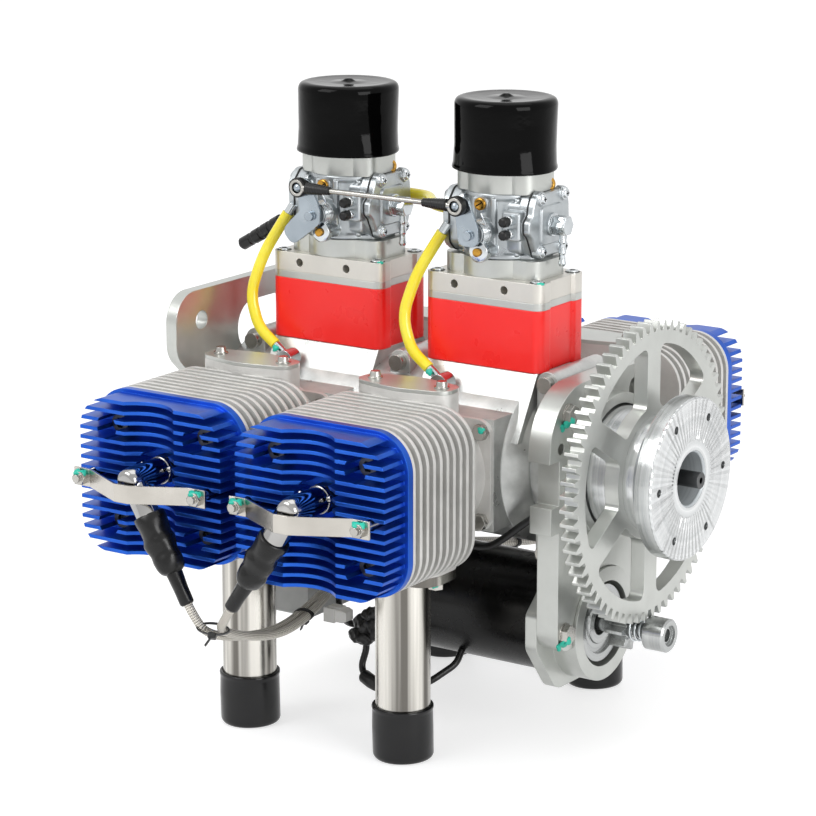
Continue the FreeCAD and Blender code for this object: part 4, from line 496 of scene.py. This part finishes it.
shells, boots, lead_paths = [], [], {}
for name, (x, side) in CYLINDER.items():
    end = name.split("_")[1]
    elbow = np.array([x, side * ELBOW_Y, PLUG_Z])
    down = unit([LEAN[end], 0, -1])
    out = (0, side, 0)
    start = elbow - np.array(out) * 27
    shells.append(spun([(0, 6.6), (0, 8), (29, 8), (34.4, 6.6), (34.6, 0.5)], 3.2, start, out, 40))
    shells.append(spun([(-1, 7.4), (-1, 8.6), (2, 8.6), (2, 7.8)], 0.5, start, out, 40))
    shells.append(closed(turned([(2, 7.5), (25, 7.5), (26, 7.9), (30, 7.9)], elbow, down)))
    # A moulded seam along the leaning tube.
    seam = np.cross(down, out)
    shells.append(slab(round_box(1.1, 0.5, 0.4), [(6, 0), (25, 0)], elbow + seam * 7.9, down, seam))
    for s in (-1, 1):
        knob = start + np.array([s * 8.4, side * 4.0, 2.5])
        shells.append(spun([(0, 1.2), (0.6, 2.1), (3.2, 2.1), (3.6, 0.6)], 0.8, knob, (s, 0, 0.25), 20))
    ribs = [
        (22.5, 7.9), (23, 9.4), (26, 9.9), (32, 9.4), (36, 8.8), (39.5, 9.9), (43, 9.3), (47, 8.4),
        (51, 9.2), (56, 8.6), (59, 7.2), (60.4, 5.4),
    ]
    tail = [(59, 4.8), (61, 4.9), (70, 4.6), (80, 4.3), (81, 3.2)]
    boots.append(spun(ribs, 1.6, elbow, down, 56, wrinkled))
    boots.append(spun(tail, 1.5, elbow, down, 32, wrinkled))
    # Both leads of a bank run side by side from the tie to the module.
    strand = 0 if end == "front" else LEAD_APART
    tie_x = LEAD_TIE_X + side * BANK_OFFSET - strand
    entry_y = side * (20 + strand)
    first = elbow + down * 78
    lead_paths[name] = spline([
        first,
        first + down * 11,
        (tie_x, side * 201, (first + down * 25)[2]),
        (tie_x - 4, side * 150, -98),
        (tie_x - 2, side * 118, -98.5),
        ((tie_x - 262) / 2 + 16, side * 62, -88),
        (-238, entry_y, MODULE_ENTRY_Z),
        (MODULE_FACE, entry_y, MODULE_ENTRY_Z),
    ], 16)
piece("plug_cap_shells", FINISH["plated_cap"], shells, instead=("plug_caps",))
piece("plug_cap_boots", FINISH["black_rubber"], boots, instead=("plug_caps",))
piece("braided_leads", FINISH["braid"], [swept(path, ring_of(LEAD_R, 24)) for path in lead_paths.values()],
      instead=("ignition_leads",), sharp=80)

ties = []
for bank, side in BANK_SIDE.items():
    for share in (0.2, 0.62):
        pair = [lead_paths[f"{bank}_{end}"] for end in ("front", "rear")]
        at = [path[int(share * len(path))] for path in pair]
        middle = (at[0] + at[1]) / 2
        ahead = pair[0][int(share * len(pair[0])) + 1] - at[0]
        across = at[0] - at[1]
        u, v, w = axes(ahead, across)
        half = np.linalg.norm(across) / 2 + 3.3
        oval = ring_of(1.0, 40)
        loop = middle + oval[:, :1] * half * u + oval[:, 1:] * 3.5 * v
        edge = np.array([(-1.3, -0.4), (1.3, -0.4), (1.3, 0.4), (-1.3, 0.4)])
        outward = unit(loop - middle)
        band = loop[:, None] + edge[None, :, :1] * w + edge[None, :, 1:] * outward[:, None]
        ties.append(np.concatenate([band, band[:1]]))
        raised = v * np.sign(v[2] or 1)
        head_at = middle - raised * 4.4
        head = [(-2.2, 0.3), (-1.9, 0), (1.9, 0), (2.2, 0.3)]
        ties.append(slab(round_box(2.4, 1.8, 0.6), head, head_at, w, u))
        end = [(0, 0), (7, 0), (7.4, 0.2)]
        ties.append(slab(round_box(1.2, 0.45, 0.3), end, head_at, u * -0.5 - raised, w))
piece("lead_ties", FINISH["black_plastic"], ties)

# ---------------------------------------------------------------------------------------------
# Soft black caps over the inlets and the exhaust stubs
# ---------------------------------------------------------------------------------------------


def sagging(d, r, a):
    """r + 0.7 s^2 (sin(2a + 1) + 0.5 sin 5a) + 0.5 s sin 3a - 0.9 sin(pi s) (1 + cos(2a - 0.6)) / 2.

    s is d / 44, the share of the way to the mouth. The folds grow towards the
    mouth, and the middle is drawn in on two sides, as dipped vinyl springs.
    """
    share = np.clip(d / 44, 0, 1)
    folds = 0.7 * share ** 2 * (np.sin(2 * a + 1) + 0.5 * np.sin(5 * a)) + 0.5 * np.sin(3 * a) * share
    return r + np.where(r > 20, folds - 0.9 * np.sin(np.pi * share) * (1 + np.cos(2 * a - 0.6)) / 2, 0)


def stub_cap(d, r, a):
    """r + 0.22 sin(3a + d / 9): a slightly uneven dipped cap."""
    return r + np.where(r > 12, 0.22 * np.sin(3 * a + d / 9), 0)


vinyl, stubs = [], []
for x in STACK_X.values():
    wall = [
        (-1.4, 0.0), (-1.4, 1.6), (-0.7, 2.9), (0.4, 4.5), (0.9, 12), (0.6, 22), (0.2, 27.5), (1.2, 30.6),
        (4, 31.9), (14, 31.9), (30, 31.7), (41, 32.0), (43.2, 32.6), (44.4, 32.4), (44.2, 30.2),
        (20, 29.9), (4, 29.6), (4, 0),
    ]
    vinyl.append(turned(softened(wall, 1.5), (x, 0, CAP_TOP_Z), (0, 0, -1), 96, sagging))
for name, (x, side) in CYLINDER.items():
    wall = [
        (0, 0.0), (0, 15.6), (0.6, 17.8), (2.6, 18.9), (20, 19.0), (31, 18.8), (32.6, 19.3), (34, 19.0),
        (34, 17.2), (12, 17.1), (3.2, 17.1), (3.2, 0),
    ]
    stubs.append(turned(softened(wall, 1.0), (x, side * STUB_Y, STUB_END_Z), UP, 64, stub_cap))
piece("inlet_dust_caps", FINISH["black_vinyl"], vinyl, instead=("carb_caps",), sharp=60)
# The stub caps' vinyl is painted greyer than the inlet caps' vinyl: painted light.
piece("stub_transport_caps", EXTRA["vinyl_painted_lighter"], stubs, instead=("exhaust_caps",),
      sharp=60)
liner = softened([(-0.2, 17.45), (-0.2, 17.1), (-1.4, 16.2), (-17, 16.2), (-17, 17.45)], 0.3)
piece("hub_sleeve", EXTRA["sleeve"], [turned(np.concatenate([liner, liner[:1]]), (0, 0, 0), FORWARD, 72)],
      body="crank")

# ---------------------------------------------------------------------------------------------
# Carburettors: die-cast bodies, covers with their gaskets, jets, screws and springs
# ---------------------------------------------------------------------------------------------
# The metering cover and the pump cover, seen from outside: across, and up from the body's middle.
METER_COVER = rounded([(18, 20), (-16, 19), (-19, 13), (-20, 7), (-24, 4), (-24, -3), (-20, -6), (-17, -12),
                       (-13, -19.5), (14, -19.5), (19, -17), (23, -4), (22, 12)], 2)
PUMP_COVER = rounded([(14, 20), (-14, 20), (-21, 14), (-22, -12), (-15, -20), (15, -20), (22, -12),
                      (21, 14)], 3)
CROSS = np.array([(1.5, 0.38), (-1.5, 0.38), (-1.5, -0.38), (1.5, -0.38)])


def pan_head(at, out, radius=3.2, height=2.2):
    """A washer under a domed head: (distance, radius) spun about the screw's line."""
    dome = [(-0.6, radius * 1.25), (0.5, radius * 1.25), (0.5, radius), (height * 0.7, radius * 0.92),
            (height, radius * 0.68), (height, 0.1)]
    return closed(turned(softened(dome, 0.35, 3), at, out, 24))


def painted_slot_shade(at, out, height=2.2):
    """Painted shade for a screw's cross slot: two dark bars laid square to each other on the head."""
    levels = [(height - 0.8, 0), (height + 0.06, 0)]
    return [slab(bar, levels, at, out) for bar in (CROSS, CROSS[:, ::-1][::-1])]


def knurled(d, r, a):
    """r (1 + 0.06 cos 10a): ten flutes to grip."""
    return r * (1 + 0.06 * np.cos(10 * a))


def barb(at, out, radius, length):
    """A hose nipple: three collars that rise and fall along a thin stem."""
    steps = np.linspace(0, length, 13)
    rise = radius + 0.5 * np.where(np.arange(13) % 4 == 3, 1, 0) - 0.25 * (np.arange(13) % 4 == 0)
    return closed(turned(np.stack([steps, rise], 1), at, out, 20))


cast, gaskets, screws, slot_shades, brass, tips, nickel, springs = ([] for _ in range(8))
for x in STACK_X.values():
    middle = np.array([x, 0, CARB_MIDDLE])
    base = (x, 0, CARB_LOW)
    cover_at = (x, 0, COVER_MIDDLE)
    spindle_at = (x, 0, THROTTLE_Z)
    idle_at = (x + 4, 0, 130.5)
    plug_at = (x - 2.3, 0, 157.6)
    # The throat: a round body with a foot and a crown, the cross trunk, and ribs on the lever side.
    # It is solid, since the cap over the inlet hides the bore and the butterfly.
    throat = [
        (0, 0.1), (0, 25.2), (2.6, 25.2), (4.2, 23.6), (20, 23.2), (35.8, 23.6), (37.4, 24.8), (40, 24.8),
        (40, 0.1),
    ]
    cast.append(spun(throat, 0.9, base, UP, 72))
    trunk = [(-23, 1), (-22, 0), (22, 0), (23, 1)]
    cast.append(slab(round_box(19.4, 16.4, 4), trunk, middle, FORWARD, ACROSS))
    cast.append(slab(round_box(29.5, 15, 9), [(0, 0.5), (0.5, 0), (2.4, 0), (3, 0.6)], base, UP, FORWARD))
    for turn in (0.72, 1.3, 1.84, 2.42):
        side = np.array([math.cos(turn), -math.sin(turn), 0])
        rib = [(20, 0), (25.4, 0), (26.2, 0.8)]
        cast.append(slab(round_box(1.7, 18, 1.2), rib, middle, side, np.cross(side, UP)))
    # Bosses towards the levers: the throttle spindle, the idle stop and the block of adjusting screws.
    cast.append(spun([(16, 8.4), (29, 8.4), (30, 6.9), (36.6, 6.9), (36.6, 4.4)], 0.7, spindle_at, NEAR, 36))
    cast.append(spun([(14, 5.2), (31, 4.8), (33, 4.2)], 0.6, idle_at, NEAR))
    cast.append(slab(round_box(6.4, 9, 2), [(15, 0), (25.4, 0), (26.4, 1)], (x + 20, 0, 146), NEAR, FORWARD))
    cast.append(spun([(10, 5.4), (24.6, 5.2), (24.9, 3.6)], 0.5, plug_at, NEAR))
    # Covers: a flange on the body, a fibre gasket, and the pressed cover with a raised middle.
    cast.append(slab(METER_COVER, [(20, 2), (22, 0.2), (27.4, 0.2)], cover_at, FORWARD, ACROSS))
    gaskets.append(slab(METER_COVER, [(27.3, -0.3), (28.3, -0.3)], cover_at, FORWARD, ACROSS))
    cast.append(slab(METER_COVER, [(28.2, 0), (31.4, 0), (32.1, 0.8)], cover_at, FORWARD, ACROSS))
    raised = [(31, 0), (32.7, 0), (33.3, 0.6)]
    cast.append(slab(round_box(12.5, 12, 4), raised, (x, 1, COVER_MIDDLE), FORWARD, ACROSS))
    cast.append(slab(PUMP_COVER, [(19, 2), (21, 0.2), (26.7, 0.2)], cover_at, BACKWARD, ACROSS))
    gaskets.append(slab(PUMP_COVER, [(26.6, -0.3), (27.6, -0.3)], cover_at, BACKWARD, ACROSS))
    cast.append(slab(PUMP_COVER, [(27.5, 0), (31, 0), (32, 1)], cover_at, BACKWARD, ACROSS))
    raised = [(31, 0), (34.6, 0), (36, 1.4)]
    cast.append(slab(round_box(12, 11, 5), raised, middle, BACKWARD, ACROSS))
    cast.append(spun([(30, 7.4), (39.4, 6.8), (40, 5.6)], 0.8, (x, 2, 145.5), BACKWARD, 32))
    for y, z in ((-11, 162), (15, 162), (-10.5, 129.5), (14, 129.5)):
        cast.append(spun([(28.4, 4.6), (32.6, 4.4), (33.2, 3.6)], 0.4, (x, y, z), FORWARD))
        screws.append(pan_head((x + 33.2, y, z), FORWARD))
        slot_shades += painted_slot_shade((x + 33.2, y, z), FORWARD)
    for y, z in ((-14, 159), (14, 159), (-14, 131), (14, 131)):
        screws.append(pan_head((x - 32, y, z), BACKWARD))
        slot_shades += painted_slot_shade((x - 32, y, z), BACKWARD)
        screws.append(spun([(17, 3.4), (20.5, 3.4), (20.9, 2.4)], 0.4, (x, y * 1.28, z), BACKWARD, 24))
    # Brass: the plug in the throat, both adjusting screws, the idle stop and the vent elbow.
    brass.append(spun([(24.4, 4.0), (26.2, 3.9), (26.6, 2.6), (26.6, 0.1)], 0.4, plug_at, NEAR))
    # Painted shade for the slot in the brass plug.
    slot_shades.append(slab(CROSS * (1.8, 1.0), [(26, 0), (26.66, 0)], plug_at, NEAR, (1, 0, 0.6)))
    brass.append(closed(turned([(37.8, 2.7), (39.2, 2.7), (39.5, 1.6), (39.5, 0.1)], idle_at, NEAR, 24)))
    brass.append(spun([(0, 4.4), (4, 4.4), (4, 3.2), (9, 3.0)], 0.5, (x + 22, 9, 158), UP))
    vent = [(-3, 3.6), (4, 3.6), (4, 4.4), (6, 4.4), (6.4, 2.2), (5, 2), (5, 0.1)]
    brass.append(spun(vent, 0.5, (x + 22, 9, 167.5), (1, -0.35, 0.1)))
    nickel.append(spun([(33, 6.6), (37, 6.6), (37.4, 5.6)], 0.4, idle_at, NEAR, 32))
    for z in (150, 142):
        at = (x + 20.5, 0, z)
        nickel.append(spun([(26, 3.3), (30.5, 3.3), (31, 2.4)], 0.4, at, NEAR))
        # They end behind the levers, which swing past them.
        tips.append(spun([(30, 2.3), (31, 3.1), (36.2, 2.9), (36.8, 2)], 0.5, at, NEAR, 24, knurled))
    # The fuel banjo on the metering cover, with its nipple pointing down.
    nickel.append(spun([(33.2, 7.2), (35.4, 7.2), (35.6, 6.2)], 0.3, cover_at, FORWARD, 32))
    nut = [(35.5, 0.3), (36, 0), (44.6, 0), (45.2, 0.5)]
    nickel.append(slab(hexagon(6.4), nut, cover_at, FORWARD, ACROSS))
    nickel.append(barb((x + 41, 0, 140), (0, 0, -1), 2.0, 20))
    # The throttle's return spring, wound on the spindle boss, with its two tails.
    wound = coil(7.7, 1.25, 5.2, (x, -29.6, THROTTLE_Z), NEAR)
    tail = np.array([(x + 9.5, -36.2, 147), (x + 6, -37.4, 154.5)])
    springs.append(swept(softened(np.concatenate([wound, tail]), 0.3, 2), ring_of(0.55, 8), (0.1, 1, 0.2)))
    hook = [(x - 7, -30, 137), (x - 10, -31, 131), (x - 12, -28, 128)]
    springs.append(swept(hook, ring_of(0.55, 8), (0.1, 1, 0.2)))

hidden = ("carb_body_front", "carb_body_rear", "metering_covers", "pump_covers")
piece("carburettor_castings", FINISH["zinc_casting"], cast, instead=hidden)
piece("carburettor_gaskets", EXTRA["gasket"], gaskets)
piece("carburettor_screws", EXTRA["bright_steel"], screws)
# Dark bars standing in for the shade in the screws' slots: painted shade.
piece("screw_recess_painted_shade", EXTRA["recess_painted_shade"], slot_shades)
piece("carburettor_brass", EXTRA["brass"], brass)
piece("adjuster_caps", FINISH["black_plastic"], tips)
piece("carburettor_fittings", EXTRA["bright_steel"], nickel)
piece("throttle_springs", EXTRA["bright_steel"], springs, sharp=80)

# Black sleeves over both ends of the link, and the moulded sockets round its balls.
sleeves = []
for end, x in STACK_X.items():
    ball = (x + LINK_BALL[0], LINK_BALL[1], LINK_BALL[2])
    inward = FORWARD if end == "rear" else BACKWARD
    ribs = np.linspace(6.4, 24, 30)
    sleeve = np.stack([ribs, 3.7 - 0.018 * (ribs - 6.4) ** 1.5 + 0.22 * (np.arange(30) % 3 == 1)], 1)
    sleeves.append(closed(turned(sleeve, ball, inward, 24)))
    ring = softened([(-2.2, 5.35), (-2.2, 6.2), (2.2, 6.2), (2.2, 5.35)], 0.5)
    sleeves.append(turned(np.concatenate([ring, ring[:1]]), ball, NEAR, 32))
piece("link_sleeves", FINISH["black_plastic"], sleeves, body="throttle_link")

# Socket screws let into the four corners of each pale plate.
heads, recess_shades = [], []
for x in STACK_X.values():
    for dx in (-36, 36):
        for dy in (-20.5, 20.5):
            at = (x + dx, dy, PLATE_TOP)
            head = [(0, 3.9), (0.9, 3.9), (1.2, 3.5), (1.2, 1.9), (0.9, 1.8)]
            # A thin dark disc round each head: painted shade for the gap of its counterbore.
            recess_shades.append(closed(turned([(0, 4.7), (0.06, 4.7), (0.06, 0.1)], at, UP, 24)))
            heads.append(closed(turned(head, at, UP, 24)))
            # A dark hexagon in each head: painted shade for its socket.
            recess_shades.append(slab(hexagon(1.9), [(1, 0), (1.22, 0)], at, UP))
piece("plate_screws", EXTRA["bright_steel"], heads)
piece("plate_recess_painted_shade", EXTRA["recess_painted_shade"], recess_shades)

# ---------------------------------------------------------------------------------------------
# Starter: the bearing plate in the nose, and the pinion's return spring
# ---------------------------------------------------------------------------------------------
START = (0, 0, STARTER_Z)
steps = [
    (-69.8, 8), (-61.4, 8), (-61.4, 13), (-62.6, 13.6), (-62.6, 19), (-60.4, 19.6), (-60.4, 24.4),
    (-62, 25), (-69.8, 25), (-69.8, 8),
]
piece(
    "starter_bearing_plate", FINISH["starter_steel"], [turned(steps, START, FORWARD, 72)],
)
# A conical coil. The solids leave no room for closed turns, so it flattens to keep of its length.
a = np.linspace(0, TAU * 3.4, 100)[:, None]
share = a / a.max()
taper = 7.3 - 1.9 * share
cone = np.c_[-38.4 + 10.9 * share, taper * np.cos(a), STARTER_Z + taper * np.sin(a)]
spring = piece("pinion_coil", EXTRA["bright_steel"], [swept(cone, ring_of(0.75, 10), (1, 0.01, 0.02))],
               body="starter_spindle", instead=("pinion_spring",), sharp=80)
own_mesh(spring)

# ---------------------------------------------------------------------------------------------
# Wiring: taped connectors, the white one beside them, and the joint in the starter cable
# ---------------------------------------------------------------------------------------------


def taped(d, r, a):
    """r (1 + 0.10 sin(3a + 0.5d) + 0.07 sin(5a - 0.9d) + 0.03 sin(2.2d)): turns of tape over plugs."""
    return r * (1 + 0.10 * np.sin(3 * a + 0.5 * d) + 0.07 * np.sin(5 * a - 0.9 * d) + 0.03 * np.sin(2.2 * d))


lengths = np.linspace(0, 1, 40)
# A plug swells from its ends: sin(pi t) to a small power.
hump = np.sin(np.pi * np.clip(lengths, 0.02, 0.98)) ** 0.35
bundles = []
for long, thick, at, along, around in (
    (29, 8.6, (-214.5, -46, -115.5), (1, 0.02, -0.12), 40),
    (17, 5.2, (-215, -52, -121.5), (1, 0.1, -0.2), 32),
    (19, 4.4, (-206, -51, -109), (1, 0.0, 0.25), 32),
):
    plug = np.stack([lengths * long, hump * thick], 1)
    bundles.append(closed(turned(plug, at, along, around, taped)))
joint = [(0, 2.6), (1, 4.3), (9, 4.6), (15, 3.9), (17, 2.5)]
bundles.append(spun(joint, 1.2, (-204, -53.6, -147.6), (1, -0.25, -0.28), 32, wrinkled))
# The sensor's lead runs from the case to the back of the front plate.
route = [(-128, -44, -52), (-116, -46, -51.5), (-102, -47, -42), (-88, -47, -30), (-76.5, -46, -22)]
bundles.append(swept(spline(route, 8), ring_of(2.3, 16)))
piece("taped_connectors", FINISH["black_plastic"], bundles, instead=("wiring_connectors",))
housing = [(-230, 0.6), (-229.4, 0), (-216, 0), (-213, 1.2)]
shell = [
    slab(round_box(5, 4.2, 1), housing, (0, -55, -110), FORWARD, ACROSS),
    slab(round_box(1.2, 5, 0.5), [(-229, 0.3), (-221, 0.3)], (0, -60, -110), FORWARD, ACROSS),
    slab(round_box(3.2, 0.8, 0.4), [(-227, 0), (-218, 0)], (0, -55, -105.4), FORWARD, ACROSS),
]
piece("white_connector", EXTRA["white_nylon"], shell, instead=("wiring_connectors",))

# ---------------------------------------------------------------------------------------------
# Torque paint on nuts and bolts
# ---------------------------------------------------------------------------------------------


def dab(at, out, radius=2.6, turn=0.0):
    """A blob of paint: r (1 + 0.14 sin(3a + t) + 0.07 sin(5a - t)), 1.5 mm thick at most."""
    domed = [(-0.5, radius), (0.3, radius), (0.7, radius * 0.8), (0.95, radius * 0.4), (1.0, 0.05)]

    def wobble(d, r, a):
        return r * (1 + 0.14 * np.sin(3 * a + turn) + 0.07 * np.sin(5 * a - turn))

    return closed(turned(domed, at, out, 28, wobble))


dabs = [dab((x - 25.5, -45.6, 54), (0, -1, 0.4), 2.2, x) for x in STACK_X.values()]
for number, (x, side) in enumerate(CYLINDER.values()):
    for dx in (-STRAP_REACH, STRAP_REACH):
        dabs.append(dab((x + dx - 1, side * 203.6, 3.6), (0.2, side * 0.5, 1), 2.4, number + dx))
        dabs.append(dab((x + dx + 2.4, side * 202.2, 3.0), (0.9, side * 0.3, 0.5), 2.2, number - dx))
for number, (y, z) in enumerate(PLATE_BOLTS):
    dabs.append(dab((-55.3, y - 3, z - 3.2), (1, -0.1, 0), 2.6, number))
    dabs.append(dab((-57.6, y - 4.5, z - 5), (0.8, -0.5, -0.5), 2.8, number * 2))
    dabs.append(dab((-59.9, y - 6, z - 7), FORWARD, 2.6, number * 3))
for number, (x, y, z, out) in enumerate(SMALL_DABS):
    dabs.append(dab((x, y, z), out, 2.2, number * 1.7))
piece("torque_paint", EXTRA["seal"], dabs, sharp=70)

# ---------------------------------------------------------------------------------------------
# Floor, light and camera
# ---------------------------------------------------------------------------------------------
FLOOR_Z, FLOOR_HALF = -0.178, 6.0
data = bpy.data.meshes.new("floor")
corners = np.array([(-1, -1, 0), (1, -1, 0), (1, 1, 0), (-1, 1, 0)]) * FLOOR_HALF + (0, 0, FLOOR_Z)
data.from_pydata(corners.tolist(), [], [(0, 1, 2, 3)])
floor = bpy.data.objects.new("floor", data)
bpy.context.scene.collection.objects.link(floor)
mat, tree, shader, _ = paint("white_studio_floor", "#C9C9C9", 0.0, 0.6)
ray = add(tree, "ShaderNodeLightPath")
seen = add(tree, "ShaderNodeMath", {0: ray.outputs["Is Camera Ray"], 1: ray.outputs["Is Glossy Ray"]},
           operation="MAXIMUM")
glow = add(tree, "ShaderNodeEmission", Color=(1, 1, 1, 1), Strength=0.62)
none = add(tree, "ShaderNodeEmission", Color=(0, 0, 0, 1), Strength=0.0)
pick = add(tree, "ShaderNodeMixShader", {0: seen.outputs[0], 1: none.outputs[0], 2: glow.outputs[0]})
both = add(tree, "ShaderNodeAddShader", {0: shader.outputs[0], 1: pick.outputs[0]})
tree.links.new(both.outputs[0], tree.nodes["Material Output"].inputs[0])
data.materials.append(mat)

world = bpy.data.worlds.new("studio")
bpy.context.scene.world = world
world.use_nodes = True
tree = world.node_tree
ray = add(tree, "ShaderNodeLightPath")
seen = add(tree, "ShaderNodeMath", {0: ray.outputs["Is Camera Ray"], 1: ray.outputs["Is Glossy Ray"]},
           operation="MAXIMUM")
power = add(tree, "ShaderNodeMapRange", {"Value": seen.outputs[0]}, To_Min=0.55, To_Max=1.0)
tree.nodes["Background"].inputs["Color"].default_value = (1, 1, 1, 1)
tree.links.new(power.outputs[0], tree.nodes["Background"].inputs["Strength"])

centre = Vector((-0.17, 0, 0))
for name, at, size, watts in (
    ("key", (-0.9, -1.5, 1.5), 1.2, 23),
    ("side", (1.7, -0.6, 0.6), 1.0, 19),
    ("top", (-0.1, 0.2, 1.9), 1.4, 8),
):
    light = bpy.data.lights.new(name, "AREA")
    light.size = size
    light.energy = watts
    lamp = bpy.data.objects.new(name, light)
    lamp.location = at
    lamp.rotation_euler = (centre - Vector(at)).to_track_quat("-Z", "Y").to_euler()
    bpy.context.scene.collection.objects.link(lamp)

view = bpy.data.cameras.new("camera")
view.lens = 136.6
view.sensor_width = 36
view.clip_end = 20
eye = bpy.data.objects.new("camera", view)
eye.location = (0.86247, -1.58273, 0.49173)
turn, drop = math.radians(34.01), math.radians(14.01)
ahead = Vector((-math.sin(turn) * math.cos(drop), math.cos(turn) * math.cos(drop), -math.sin(drop)))
eye.rotation_euler = ahead.to_track_quat("-Z", "Y").to_euler()
bpy.context.scene.collection.objects.link(eye)
bpy.context.scene.camera = eye
bpy.context.scene.view_settings.view_transform = "Standard"

bpy.context.view_layer.update()
